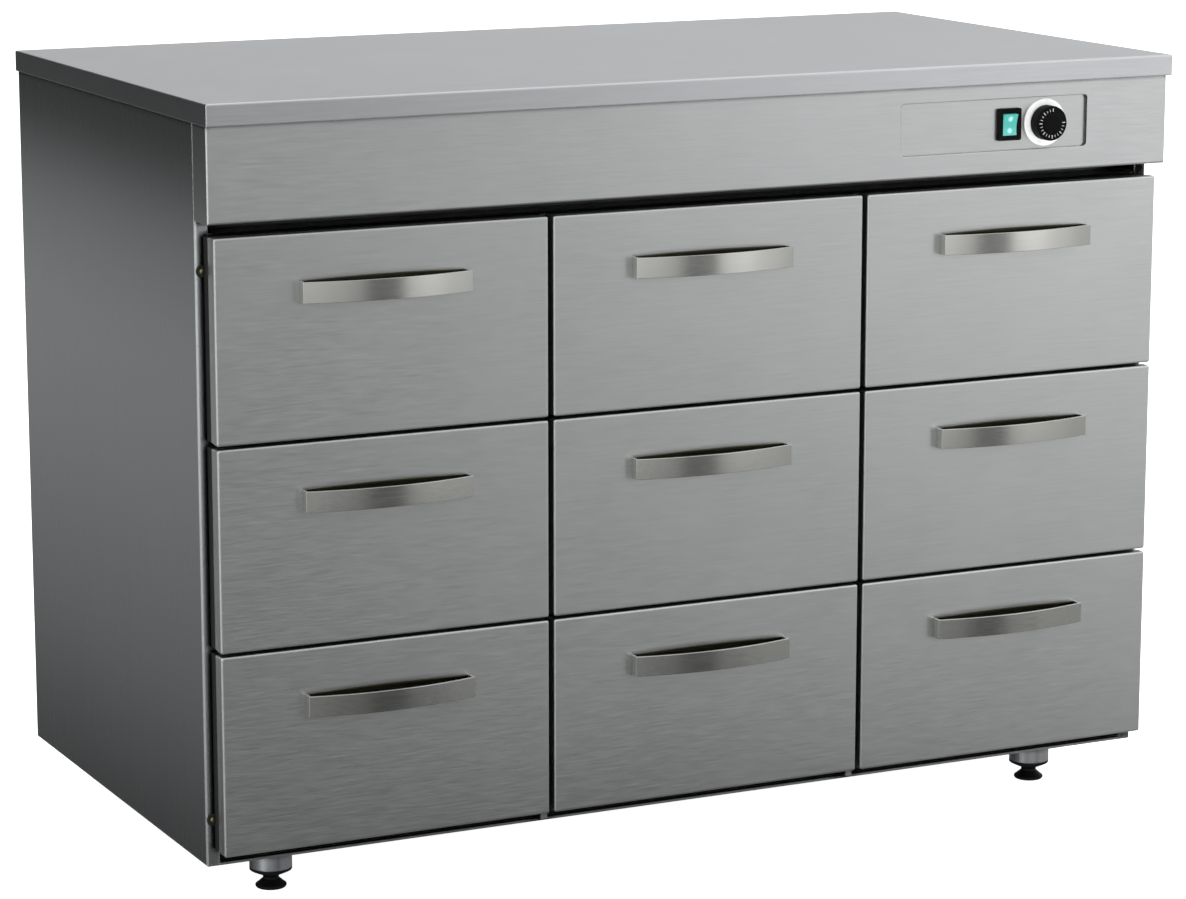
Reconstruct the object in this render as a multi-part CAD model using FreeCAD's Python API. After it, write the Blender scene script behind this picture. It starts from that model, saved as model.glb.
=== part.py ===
import FreeCAD, Part
import math
import os

# Heated nine-drawer cabinet in folded stainless sheet: a worktop on a body of two side panels, back panel
# and base pan, a front frame with nine sealed openings, three columns of drawers on runners, a control
# fascia and four levelling feet.
# X runs to the right, Y to the back, Z up. The origin is on the floor, under the middle of the whole
# cabinet with its handles. All sizes are millimetres.

# Overall sizes
WORKTOP_WIDTH = 1200.0
WORKTOP_DEPTH = 640.0
WORKTOP_HEIGHT = 893.0
BASE_CLEARANCE = 55.0
COLUMNS = 3
ROWS = 3

# Worktop
WORKTOP_LIP = 24.0
WORKTOP_SHEET = 1.5
SIDE_OVERHANG = 2.0
FRONT_OVERHANG = 7.7
REAR_OVERHANG = 2.0
STIFFENER_WIDTH = 60.0
STIFFENER_HEIGHT = 18.0
STIFFENER_COUNT = 3

# Body sheet work
SHEET = 1.2
FOLD_RADIUS = 2.0
PANEL_RETURN = 15.0
BACK_RETURN = 12.0
BASE_LIP = 5.4
FLANGE_SETBACK = 39.5

# Control fascia and what is on it
FASCIA_HEIGHT = 104.0
FASCIA_GAP = 15.3
RECESS_WIDTH = 250.0
RECESS_HEIGHT = 60.0
RECESS_DEPTH = 4.0
RECESS_CORNER = 5.0
RECESS_FROM_SIDE = 109.0
RECESS_BELOW_LIP = 48.0
PLATE_LAP = 6.0
KNOB_FROM_RECESS_END = 55.7
SWITCH_FROM_RECESS_END = 104.8
KNOB_DIAMETER = 40.4
KNOB_SKIRT = 15.5
KNOB_PROJECTION = 19.0
KNOB_GRIP_DIAMETER = 27.0
KNOB_FLUTES = 8
KNOB_FLUTE_RADIUS = 2.4
KNOB_BEVEL = 1.2
KNOB_SEAT_GAP = 0.6
DIAL_DIAMETER = 55.0
DIAL_THICKNESS = 1.0
BUSH_DIAMETER = 10.0
SPINDLE_DIAMETER = 6.0
SPINDLE_LENGTH = 14.0
THERMOSTAT_WIDTH = 44.0
THERMOSTAT_HEIGHT = 36.0
THERMOSTAT_DEPTH = 30.0
CAPILLARY_DIAMETER = 2.0
CAPILLARY_BEND = 12.0
CAPILLARY_HOLE = 4.0
BULB_DIAMETER = 6.5
BULB_LENGTH = 90.0
BULB_BELOW_CEILING = 60.0
BEZEL_WIDTH = 30.4
BEZEL_HEIGHT = 37.0
BEZEL_PROJECTION = 5.0
BEZEL_BODY_DEPTH = 24.0
BEZEL_CORNER = 2.0
BEZEL_STEP = 2.0
POCKET_SIDE_GAP = 0.5
POCKET_END_GAP = 0.9
POCKET_DEPTH = 14.0
ROCKER_WIDTH = 18.8
ROCKER_HEIGHT = 25.6
ROCKER_DISH = 2.2
ROCKER_THICKNESS = 9.0
ROCKER_TILT = 7.0
ROCKER_PIN_DIAMETER = 3.0
ROCKER_PIN_LENGTH = 1.6
ROCKER_PIN_PLAY = 0.3
ROCKER_PROUD = 1.0

# Drawer grid
SIDE_REVEAL = 8.5
COLUMN_GAP = 6.5
ROW_GAP = 3.7
BOTTOM_MARGIN = 18.3
DRAWER_SETBACK = 5.5
FRONT_THICKNESS = 21.0
SKIN_DEPTH = 12.0
DRAWER_SHEET = 1.0

# Front frame, seals and inner walls
OPENING_INSET = 14.0
FRAME_RETURN = 20.0
FRAME_BELOW_DRAWERS = 6.3
MULLION_NOSE_WIDTH = 8.0
MULLION_NOSE_GAP = 0.6
MULLION_NOSE_DROP = 6.6
SEAL_WIDTH = 10.0
SEAL_INSET = 1.5
SEAL_GAP = 0.3
SEAL_BEVEL = 2.5
SLOT_SETBACK = 35.0
TOP_INSULATION = 20.0
BACK_INSULATION = 20.0
PLENUM_DEPTH = 50.0
BAFFLE_SLOTS = 3
BAFFLE_SLOT_WIDTH = 80.0
BAFFLE_SLOT_HEIGHT = 8.0

# Drawer boxes and runners
BOX_SIDE_CLEARANCE = 13.0
BOX_FLOOR_CLEARANCE = 6.0
BOX_TOP_CLEARANCE = 14.0
BOX_REAR_CLEARANCE = 28.0
BOX_RIM = 5.0
RUNNER_HEIGHT = 36.0
RUNNER_SHEET = 1.5
RUNNER_DEPTH = 10.5
SLIDER_DEPTH = 10.0
RUNNER_PLAY = 0.3
RUNNER_DROP = 60.0
RUNNER_REAR_CLEARANCE = 12.0

# Handles
HANDLE_LENGTH = 197.0
HANDLE_HEIGHT = 23.0
HANDLE_END_DEPTH = 12.0
HANDLE_BOW = 13.0
HANDLE_BAR = 3.0
HANDLE_POST = 4.0
HANDLE_BELOW_TOP = 62.6
PAD_THICKNESS = 1.0
PAD_RISE = 2.0

# Heating element
ELEMENT_DIAMETER = 8.5
ELEMENT_SIDE_CLEARANCE = 28.0
ELEMENT_ABOVE_FLOOR = 40.0
BRACKET_WIDTH = 18.0
BRACKET_HEIGHT = 26.0
BRACKET_INSET = 50.0
ELEMENT_PLAY = 0.2

# Legs and levelling feet
LEG_FROM_SIDE = 100.4
LEG_FROM_FRONT = 68.0
LEG_FROM_BACK = 80.0
SLEEVE_DIAMETER = 48.0
SLEEVE_WALL = 1.5
SLEEVE_FLOOR_HEIGHT = 24.0
INSERT_FIT = 0.1
INSERT_PLUG_TOP = 45.0
INSERT_FOOT_HEIGHT = 13.0
INSERT_RIM = 3.2
NECK_DIAMETER = 18.0
STEM_DIAMETER = 10.0
STEM_PLAY = 0.05
STEM_TOP = 52.0
FOOT_DIAMETER = 35.0
FOOT_BASE_DIAMETER = 33.0
FOOT_CONE_BOTTOM = 3.5
FOOT_RIM_BOTTOM = 1.5
FOOT_CONE_TOP = 10.5
FOOT_SEAT_GAP = 0.3

# Cable gland in the back panel
GLAND_FROM_SIDE = 120.0
GLAND_BELOW_TOP = 70.0
GLAND_THREAD_DIAMETER = 20.0
GLAND_HEX = 24.0
GLAND_HEX_THICKNESS = 5.0
GLAND_CAP_LENGTH = 9.0
GLAND_CAP_DIAMETER = 21.0
GLAND_CHAMFER = 3.0
GLAND_BORE = 10.0
GLAND_NUT_THICKNESS = 5.0

# Heights
lip_z = WORKTOP_HEIGHT - WORKTOP_LIP
panel_top = WORKTOP_HEIGHT - WORKTOP_SHEET
fascia_z = lip_z - FASCIA_HEIGHT
drawers_top = fascia_z - FASCIA_GAP
drawers_bottom = BASE_CLEARANCE + BOTTOM_MARGIN
drawer_height = (drawers_top - drawers_bottom - (ROWS - 1) * ROW_GAP) / ROWS
frame_bottom = drawers_bottom - FRAME_BELOW_DRAWERS
base_top = BASE_CLEARANCE + 2 * SHEET
recess_z = lip_z - RECESS_BELOW_LIP

# Widths
body_half = WORKTOP_WIDTH / 2 - SIDE_OVERHANG
skin_inside = body_half - SHEET
grid_half = body_half - SIDE_REVEAL
drawer_width = (2 * grid_half - (COLUMNS - 1) * COLUMN_GAP) / COLUMNS
opening_width = drawer_width - 2 * OPENING_INSET
liner_inside = grid_half - OPENING_INSET + SHEET
partition_width = COLUMN_GAP + 2 * OPENING_INSET - 2 * SHEET
recess_right = body_half - RECESS_FROM_SIDE
knob_x = recess_right - KNOB_FROM_RECESS_END
switch_x = recess_right - SWITCH_FROM_RECESS_END

# Depths
handle_projection = HANDLE_END_DEPTH + HANDLE_BOW
gland_projection = GLAND_HEX_THICKNESS + GLAND_CAP_LENGTH
behind_worktop = max(0.0, gland_projection - REAR_OVERHANG - SHEET)
total_depth = handle_projection - DRAWER_SETBACK - FRONT_OVERHANG + WORKTOP_DEPTH + behind_worktop
face_y = -total_depth / 2 + handle_projection
fascia_y = face_y - DRAWER_SETBACK
worktop_front = fascia_y - FRONT_OVERHANG
worktop_back = worktop_front + WORKTOP_DEPTH
front_back = face_y + FRONT_THICKNESS
flange_y = fascia_y + FLANGE_SETBACK
frame_back = flange_y + SHEET
side_back = worktop_back - REAR_OVERHANG
back_outside = side_back - SHEET
liner_back = back_outside - SHEET - BACK_INSULATION
plenum_back = liner_back - SHEET
baffle_back = plenum_back - PLENUM_DEPTH
baffle_front = baffle_back - SHEET
plate_y = fascia_y + RECESS_DEPTH
box_depth = baffle_front - BOX_REAR_CLEARANCE - front_back
slot_y = flange_y + SLOT_SETBACK


def vec(x, y, z):
    """Short name for a point or direction."""
    return FreeCAD.Vector(x, y, z)


def block(x0, x1, y0, y1, z0, z1):
    """Box between two corners."""
    return Part.makeBox(x1 - x0, y1 - y0, z1 - z0, vec(x0, y0, z0))


def rod(diameter, start, direction, length):
    """Round bar from a start point."""
    return Part.makeCylinder(diameter / 2, length, start, direction)


def edges_where(shape, test):
    """Edges whose middle point and direction pass a test."""
    found = []
    for edge in shape.Edges:
        middle = edge.valueAt((edge.FirstParameter + edge.LastParameter) / 2)
        along = edge.Vertexes[-1].Point - edge.Vertexes[0].Point
        if test(middle, along):
            found.append(edge)
    return found


def near(a, b):
    """True where two lengths are the same."""
    return abs(a - b) < 1e-4


def rounded_block(corners, axis, radius):
    """Box whose four edges along one axis are rounded."""
    shape = block(*corners)
    others = [i for i in range(3) if i != axis]
    edges = edges_where(shape, lambda m, d: near(d[others[0]], 0) and near(d[others[1]], 0))
    return shape.makeFillet(radius, edges)


def round_face(shape, axis, value, radius):
    """Round every edge that lies in the plane where one coordinate has a value."""
    edges = edges_where(shape, lambda m, d: near(m[axis], value) and near(d[axis], 0))
    return shape.makeFillet(radius, edges)


def pan(corners, axis, closed_high, sheet, fold=0.0):
    """Folded pan: a sheet face with a return on its four sides, open on the side opposite the face."""
    low = [corners[0], corners[2], corners[4]]
    high = [corners[1], corners[3], corners[5]]
    face = high[axis] if closed_high else low[axis]
    outer = block(*corners)
    if fold > 0:
        outer = round_face(outer, axis, face, fold)
    inner_low = [v + sheet for v in low]
    inner_high = [v - sheet for v in high]
    if closed_high:
        inner_low[axis] = low[axis] - sheet
    else:
        inner_high[axis] = high[axis] + sheet
    inner = [inner_low[0], inner_high[0], inner_low[1], inner_high[1], inner_low[2], inner_high[2]]
    return outer.cut(block(*inner))


def turned(profile, x, y):
    """Turn a closed (radius, height) outline about an upright axis."""
    points = [vec(x + r, y, h) for r, h in profile]
    face = Part.Face(Part.makePolygon(points + [points[0]]))
    return face.revolve(vec(x, y, 0), vec(0, 0, 1), 360)


def mirrored(shape):
    """The same piece for the other side of the cabinet."""
    return shape.mirror(vec(0, 0, 0), vec(1, 0, 0))


def cells():
    """Row, column, left edge and bottom edge of each drawer front, from the top left."""
    for row in range(ROWS):
        for column in range(COLUMNS):
            x = -grid_half + column * (drawer_width + COLUMN_GAP)
            z = drawers_top - (row + 1) * drawer_height - row * ROW_GAP
            yield row, column, x, z


def mullions():
    """Middle line of each gap between two columns."""
    for column in range(1, COLUMNS):
        yield -grid_half + column * (drawer_width + COLUMN_GAP) - COLUMN_GAP / 2


def legs():
    """Place of each leg: front left, front right, back left, back right."""
    x = body_half - LEG_FROM_SIDE
    for name, y in (("front", flange_y + LEG_FROM_FRONT), ("back", side_back - LEG_FROM_BACK)):
        yield name + "_left", -x, y
        yield name + "_right", x, y


def worktop():
    """Folded worktop with its lip, and hat stiffeners welded under it."""
    half = WORKTOP_WIDTH / 2
    corners = [-half, half, worktop_front, worktop_back, lip_z, WORKTOP_HEIGHT]
    top = pan(corners, 2, True, WORKTOP_SHEET, FOLD_RADIUS)
    reach = body_half - PANEL_RETURN - SHEET
    pitch = (side_back - flange_y) / (STIFFENER_COUNT + 1)
    for index in range(STIFFENER_COUNT):
        y = flange_y + (index + 1) * pitch - STIFFENER_WIDTH / 2
        low = panel_top - STIFFENER_HEIGHT
        hat = block(-reach, reach, y, y + STIFFENER_WIDTH, low, panel_top)
        hollow = block(-reach - SHEET, reach + SHEET, y + SHEET, y + STIFFENER_WIDTH - SHEET, low + SHEET,
                       panel_top)
        top = top.fuse(hat.cut(hollow))
    return top.removeSplitter()


def side_panel():
    """Left side panel: one pan with its face outside and its returns turned inwards."""
    corners = [-body_half, -body_half + PANEL_RETURN, flange_y, side_back, BASE_CLEARANCE, panel_top]
    return pan(corners, 0, False, SHEET, FOLD_RADIUS)


def gland_place():
    """Middle of the cable gland on the outside of the back panel."""
    return vec(skin_inside - GLAND_FROM_SIDE, back_outside, panel_top - GLAND_BELOW_TOP)


def back_panel():
    """Back panel behind the rear returns of the side panels, with the hole of the cable gland."""
    corners = [-skin_inside, skin_inside, back_outside - BACK_RETURN, back_outside, base_top,
               panel_top - SHEET]
    panel = pan(corners, 1, True, SHEET)
    hole = rod(GLAND_THREAD_DIAMETER, gland_place() - vec(0, 2 * SHEET, 0), vec(0, 1, 0), 4 * SHEET)
    return panel.cut(hole)


def base_pan():
    """Base sheet on the bottom returns of the side panels, its front lip, and four leg sleeves."""
    sheet = block(-skin_inside, skin_inside, frame_back, back_outside, base_top - SHEET, base_top)
    reach = body_half - PANEL_RETURN
    lip = block(-reach, reach, flange_y, frame_back, BASE_CLEARANCE, BASE_CLEARANCE + BASE_LIP)
    pieces = [sheet.fuse(lip).removeSplitter()]
    for name, x, y in legs():
        start = vec(x, y, SLEEVE_FLOOR_HEIGHT)
        height = base_top - SHEET - SLEEVE_FLOOR_HEIGHT
        outer = rod(SLEEVE_DIAMETER, start, vec(0, 0, 1), height)
        bore = rod(SLEEVE_DIAMETER - 2 * SLEEVE_WALL, start, vec(0, 0, 1), height)
        pieces.append(outer.cut(bore))
    return Part.makeCompound(pieces)


def window(grow, y0, y1):
    """Round-cornered block through the control recess, grown by an amount on every side."""
    corners = [recess_right - RECESS_WIDTH - grow, recess_right + grow, y0, y1,
               recess_z - RECESS_HEIGHT / 2 - grow, recess_z + RECESS_HEIGHT / 2 + grow]
    return rounded_block(corners, 1, RECESS_CORNER + grow)


def control_fascia():
    """Fascia box open at the back, with a window whose edge is turned in to the control plate."""
    corners = [-body_half, body_half, fascia_y, flange_y, fascia_z, panel_top]
    box = pan(corners, 1, False, SHEET, FOLD_RADIUS)
    box = box.fuse(window(SHEET, fascia_y, plate_y))
    return box.cut(window(0, fascia_y - SHEET, plate_y + SHEET)).removeSplitter()


def control_plate():
    """Plate behind the window that holds the thermostat and the switch."""
    plate = window(PLATE_LAP, plate_y, plate_y + SHEET)
    bush = rod(BUSH_DIAMETER, vec(knob_x, plate_y - SHEET, recess_z), vec(0, 1, 0), 3 * SHEET)
    width, height = switch_body_size()
    cut = block(switch_x - width / 2, switch_x + width / 2, plate_y - SHEET, plate_y + 2 * SHEET,
                recess_z - height / 2, recess_z + height / 2)
    return plate.cut(bush).cut(cut)


def frame_opening(x, z, grow, y0, y1):
    """Block through one opening of the front frame."""
    return block(x + OPENING_INSET - grow, x + drawer_width - OPENING_INSET + grow, y0, y1,
                 z + OPENING_INSET - grow, z + drawer_height - OPENING_INSET + grow)


def frame_members(plate):
    """Cut the frame plate into its welded members: the uprights and the rails between them."""
    members = []
    left = -body_half
    for column in range(COLUMNS):
        start = -grid_half + column * (drawer_width + COLUMN_GAP) + OPENING_INSET
        for span in ((left, start), (start, start + opening_width)):
            members += plate.common(block(*span, flange_y, baffle_front, frame_bottom, drawers_top)).Solids
        left = start + opening_width
    members += plate.common(block(left, body_half, flange_y, baffle_front, frame_bottom, drawers_top)).Solids
    return members


def front_frame():
    """Welded frame with a turned-in edge round each drawer opening, and the two mullion noses."""
    reach = body_half - PANEL_RETURN
    rear = flange_y + FRAME_RETURN
    plate = block(-reach, reach, flange_y, frame_back, frame_bottom, drawers_top)
    for low in (frame_bottom, drawers_top - SHEET):
        plate = plate.fuse(block(-liner_inside, liner_inside, flange_y, rear, low, low + SHEET))
    for row, column, x, z in cells():
        plate = plate.fuse(frame_opening(x, z, SHEET, flange_y, rear))
    for row, column, x, z in cells():
        plate = plate.cut(frame_opening(x, z, 0, flange_y - SHEET, rear + SHEET))
    return Part.makeCompound(frame_members(plate.removeSplitter()) + [mullion_nose(x) for x in mullions()])


def mullion_nose(x):
    """Folded strip that stands forward between two columns of drawers."""
    half = MULLION_NOSE_WIDTH / 2
    front = front_back + MULLION_NOSE_GAP
    low = frame_bottom - MULLION_NOSE_DROP
    nose = block(x - half, x + half, front, flange_y, low, drawers_top)
    groove = block(x - half + SHEET, x + half - SHEET, front + SHEET, flange_y, low, drawers_top)
    return nose.cut(groove)


def inner_walls():
    """Side liners, partitions, ceiling, floor, back liner and the slotted baffle before the plenum."""
    side = block(-liner_inside - SHEET, -liner_inside, frame_back, plenum_back, frame_bottom, drawers_top)
    pieces = [side, mirrored(side)]
    for x in mullions():
        half = partition_width / 2
        depth = (frame_back, baffle_front)
        box = block(x - half, x + half, *depth, frame_bottom, drawers_top)
        hollow = block(x - half + SHEET, x + half - SHEET, depth[0] + SHEET, depth[1] - SHEET, frame_bottom,
                       drawers_top)
        corner = FRAME_RETURN + SHEET
        for low in (frame_bottom, drawers_top - SHEET):
            box = box.cut(block(x - half, x + half, frame_back, frame_back + corner, low, low + SHEET))
        pieces.append(box.cut(hollow))
    reach = liner_inside + SHEET
    ceiling = block(-reach, reach, frame_back, plenum_back, drawers_top, drawers_top + SHEET)
    upstand = block(-reach, reach, slot_y, slot_y + SHEET, drawers_top, drawers_top + TOP_INSULATION)
    pieces.append(ceiling.fuse(upstand).removeSplitter().cut(capillary_hole()))
    pieces.append(block(-reach, reach, frame_back, plenum_back, frame_bottom - SHEET, frame_bottom))
    pieces.append(block(-skin_inside, skin_inside, plenum_back, liner_back, base_top,
                        drawers_top + TOP_INSULATION))
    pieces.append(baffle())
    return Part.makeCompound(pieces)


def baffle():
    """Sheet behind the drawers with a row of air slots for each drawer."""
    sheet = block(-liner_inside, liner_inside, baffle_front, baffle_back, frame_bottom, drawers_top)
    pitch = opening_width / BAFFLE_SLOTS
    for row, column, x, z in cells():
        low = z + drawer_height / 2
        for index in range(BAFFLE_SLOTS):
            start = x + OPENING_INSET + (index + 0.5) * pitch - BAFFLE_SLOT_WIDTH / 2
            sheet = sheet.cut(block(start, start + BAFFLE_SLOT_WIDTH, baffle_front, baffle_back, low,
                                    low + BAFFLE_SLOT_HEIGHT))
    return sheet


def insulation():
    """Insulation boards in both sides, above the ceiling, under the floor and behind the back liner."""
    side = block(-skin_inside, -liner_inside - SHEET, frame_back, plenum_back, frame_bottom, drawers_top)
    reach = liner_inside + SHEET
    top = block(-reach, reach, slot_y + SHEET, plenum_back, drawers_top + SHEET,
                drawers_top + TOP_INSULATION)
    bottom = block(-reach, reach, slot_y, plenum_back, base_top, frame_bottom - SHEET)
    inset = skin_inside - SHEET
    back = block(-inset, inset, liner_back, back_outside - SHEET, base_top + SHEET,
                 drawers_top + TOP_INSULATION)
    return Part.makeCompound([side, mirrored(side), top.cut(capillary_hole()), bottom, back])


def channel(x, depth, y0, y1, z, height, opens_right):
    """Runner channel: an upright web with its back at x and two flanges that point one way."""
    sign = 1 if opens_right else -1
    sides = sorted((x, x + sign * depth))
    groove = sorted((x + sign * RUNNER_SHEET, x + sign * (depth + RUNNER_SHEET)))
    outer = block(*sides, y0, y1, z, z + height)
    return outer.cut(block(*groove, y0, y1, z + RUNNER_SHEET, z + height - RUNNER_SHEET))


def runner_base(z):
    """Underside of the cabinet runner of the drawer whose front starts at height z."""
    return z + drawer_height - RUNNER_DROP - OPENING_INSET - RUNNER_HEIGHT


def cabinet_runners():
    """The fixed channel of every runner, on the walls at both sides of each drawer."""
    pieces = []
    start = flange_y + FRAME_RETURN + SHEET
    end = baffle_front - RUNNER_REAR_CLEARANCE
    for row, column, x, z in cells():
        left = x + OPENING_INSET - SHEET
        right = x + drawer_width - OPENING_INSET + SHEET
        low = runner_base(z)
        pieces.append(channel(left, RUNNER_DEPTH, start, end, low, RUNNER_HEIGHT, True))
        pieces.append(channel(right, RUNNER_DEPTH, start, end, low, RUNNER_HEIGHT, False))
    return Part.makeCompound(pieces)


def opening_seals():
    """Seal round each opening: a flat base on the frame and a bevelled bulb that the front closes on."""
    pieces = []
    front = front_back + SEAL_GAP
    for row, column, x, z in cells():
        low = (x + SEAL_INSET, z + SEAL_INSET)
        high = (x + drawer_width - SEAL_INSET, z + drawer_height - SEAL_INSET)
        outer = block(low[0], high[0], front, flange_y, low[1], high[1])
        hole = block(low[0] + SEAL_WIDTH, high[0] - SEAL_WIDTH, front, flange_y, low[1] + SEAL_WIDTH,
                     high[1] - SEAL_WIDTH)
        seal = outer.cut(hole)
        edges = edges_where(seal, lambda m, d: near(m.y, front) and near(d.y, 0))
        pieces.append(seal.makeChamfer(SEAL_BEVEL, edges))
    return Part.makeCompound(pieces)


def element_bracket(x, y, height):
    """Angle on the back liner whose upright plate holds the heating rod."""
    low, high = height - BRACKET_HEIGHT / 2, height + BRACKET_HEIGHT / 2
    plate = block(x, x + SHEET, y - ELEMENT_DIAMETER, plenum_back, low, high)
    foot = block(x, x + BRACKET_WIDTH, plenum_back - SHEET, plenum_back, low, high)
    hole = rod(ELEMENT_DIAMETER + 2 * ELEMENT_PLAY, vec(x - SHEET, y, height), vec(1, 0, 0), 3 * SHEET)
    return plate.fuse(foot).removeSplitter().cut(hole)


def heating_element():
    """Heating rod along the foot of the plenum, on a bracket at each end and behind each partition."""
    y = (baffle_back + plenum_back) / 2
    height = frame_bottom + ELEMENT_ABOVE_FLOOR
    left = -liner_inside + ELEMENT_SIDE_CLEARANCE
    pieces = [rod(ELEMENT_DIAMETER, vec(left, y, height), vec(1, 0, 0), -2 * left)]
    for x in [left + BRACKET_INSET] + list(mullions()) + [-left - BRACKET_INSET]:
        pieces.append(element_bracket(x, y, height))
    return Part.makeCompound(pieces)


def round_bend(centre, start, axis, diameter, angle):
    """Bend of a round bar: a disc at the start point turned about an axis through the centre."""
    along = axis.cross(start - centre)
    disc = Part.Face(Part.Wire(Part.makeCircle(diameter / 2, start, along)))
    return disc.revolve(centre, axis, angle)


def capillary_drop():
    """Upper end of the straight stretch of capillary that goes down into the plenum."""
    y = (baffle_back + plenum_back) / 2
    return vec(knob_x, y, recess_z - CAPILLARY_BEND)


def capillary_hole():
    """Hole that the capillary goes down through in the top insulation and the ceiling."""
    start = capillary_drop()
    return rod(CAPILLARY_HOLE, start, vec(0, 0, -1), start.z - drawers_top + SHEET)


def thermostat():
    """Thermostat body and bush behind the plate, its capillary to the plenum, and the sensing bulb."""
    back = plate_y + SHEET
    half = THERMOSTAT_WIDTH / 2
    body = block(knob_x - half, knob_x + half, back, back + THERMOSTAT_DEPTH,
                 recess_z - THERMOSTAT_HEIGHT / 2, recess_z + THERMOSTAT_HEIGHT / 2)
    front = plate_y - DIAL_THICKNESS
    bush = rod(BUSH_DIAMETER, vec(knob_x, front, recess_z), vec(0, 1, 0), back - front)
    bore = rod(SPINDLE_DIAMETER + 2 * STEM_PLAY, vec(knob_x, front, recess_z), vec(0, 1, 0), SPINDLE_LENGTH)
    body = body.fuse(bush).cut(bore).removeSplitter()
    drop = capillary_drop()
    bend_start = vec(knob_x, drop.y - CAPILLARY_BEND, recess_z)
    start_y = back + THERMOSTAT_DEPTH
    run = rod(CAPILLARY_DIAMETER, vec(knob_x, start_y, recess_z), vec(0, 1, 0), bend_start.y - start_y)
    centre = vec(knob_x, bend_start.y, drop.z)
    bend = round_bend(centre, bend_start, vec(-1, 0, 0), CAPILLARY_DIAMETER, 90)
    bulb_top = vec(knob_x, drop.y, drawers_top - BULB_BELOW_CEILING)
    fall = rod(CAPILLARY_DIAMETER, drop, vec(0, 0, -1), drop.z - bulb_top.z)
    tube = run.fuse(bend).fuse(fall).removeSplitter()
    bulb = rod(BULB_DIAMETER, bulb_top, vec(0, 0, -1), BULB_LENGTH)
    clip_low = bulb_top.z - BULB_LENGTH / 2
    clip = block(knob_x - BULB_DIAMETER, knob_x + BULB_DIAMETER, drop.y, plenum_back, clip_low,
                 clip_low + BULB_DIAMETER)
    return Part.makeCompound([body, tube, bulb, clip.cut(bulb)])


def dial_ring():
    """Flat dial behind the knob."""
    start = vec(knob_x, plate_y - DIAL_THICKNESS, recess_z)
    disc = rod(DIAL_DIAMETER, start, vec(0, 1, 0), DIAL_THICKNESS)
    return disc.cut(rod(BUSH_DIAMETER, start, vec(0, 1, 0), DIAL_THICKNESS))


def thermostat_knob():
    """Knob with a wide skirt and a fluted grip, on a spindle that turns in the bush."""
    base = plate_y - DIAL_THICKNESS - KNOB_SEAT_GAP
    skirt = rod(KNOB_DIAMETER, vec(knob_x, base, recess_z), vec(0, -1, 0), KNOB_SKIRT)
    rim = edges_where(skirt, lambda m, d: near(m.y, base - KNOB_SKIRT))
    skirt = skirt.makeChamfer(KNOB_BEVEL, rim)
    reach = KNOB_PROJECTION - DIAL_THICKNESS - KNOB_SEAT_GAP
    grip = rod(KNOB_GRIP_DIAMETER, vec(knob_x, base, recess_z), vec(0, -1, 0), reach)
    for index in range(KNOB_FLUTES):
        angle = 2 * math.pi * index / KNOB_FLUTES
        radius = KNOB_GRIP_DIAMETER / 2 + KNOB_FLUTE_RADIUS / 2
        start = vec(knob_x + radius * math.cos(angle), base - KNOB_SKIRT, recess_z + radius * math.sin(angle))
        grip = grip.cut(rod(2 * KNOB_FLUTE_RADIUS, start, vec(0, -1, 0), reach))
    spindle = rod(SPINDLE_DIAMETER, vec(knob_x, base, recess_z), vec(0, 1, 0), SPINDLE_LENGTH - SHEET)
    return skirt.fuse(grip).fuse(spindle).removeSplitter()


def switch_body_size():
    """Width and height of the part of the switch housing that goes through the plate."""
    return BEZEL_WIDTH - 2 * BEZEL_STEP, BEZEL_HEIGHT - 2 * BEZEL_STEP


def rocker_axis():
    """Middle of the rocker's pivot."""
    return vec(switch_x, plate_y, recess_z)


def switch_bezel():
    """Housing of the rocker switch: bezel on the plate, body through it, pocket and pivot holes."""
    half_w, half_h = BEZEL_WIDTH / 2, BEZEL_HEIGHT / 2
    front = plate_y - BEZEL_PROJECTION
    corners = [switch_x - half_w, switch_x + half_w, front, plate_y, recess_z - half_h, recess_z + half_h]
    rim = rounded_block(corners, 1, BEZEL_CORNER)
    width, height = switch_body_size()
    body = block(switch_x - width / 2, switch_x + width / 2, plate_y, plate_y + BEZEL_BODY_DEPTH,
                 recess_z - height / 2, recess_z + height / 2)
    side = ROCKER_WIDTH / 2 + POCKET_SIDE_GAP
    tall = ROCKER_HEIGHT / 2 + POCKET_END_GAP
    pocket = block(switch_x - side, switch_x + side, front, plate_y + POCKET_DEPTH, recess_z - tall,
                   recess_z + tall)
    reach = side + ROCKER_PIN_LENGTH + ROCKER_PIN_PLAY
    holes = rod(ROCKER_PIN_DIAMETER + 2 * STEM_PLAY, rocker_axis() - vec(reach, 0, 0), vec(1, 0, 0),
                2 * reach)
    return rim.fuse(body).cut(pocket).cut(holes).removeSplitter()


def rocker():
    """Rocker with a dished face, tipped to its lit side, on two pivot pins."""
    half = ROCKER_HEIGHT / 2
    proud = BEZEL_PROJECTION + ROCKER_PROUD
    back = ROCKER_THICKNESS - proud
    left = -ROCKER_WIDTH / 2
    outline = [vec(left, -proud, half), vec(left, -proud + ROCKER_DISH, 0), vec(left, -proud, -half),
               vec(left, 0, -half), vec(left, back, -half / 2), vec(left, back, half / 2),
               vec(left, 0, half)]
    face = Part.Face(Part.makePolygon(outline + [outline[0]]))
    body = face.extrude(vec(ROCKER_WIDTH, 0, 0))
    reach = ROCKER_WIDTH / 2 + POCKET_SIDE_GAP + ROCKER_PIN_LENGTH
    pins = rod(ROCKER_PIN_DIAMETER, vec(-reach, 0, 0), vec(1, 0, 0), 2 * reach)
    shape = body.fuse(pins).removeSplitter()
    shape.rotate(vec(0, 0, 0), vec(1, 0, 0), ROCKER_TILT)
    shape.translate(rocker_axis())
    return shape


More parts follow.
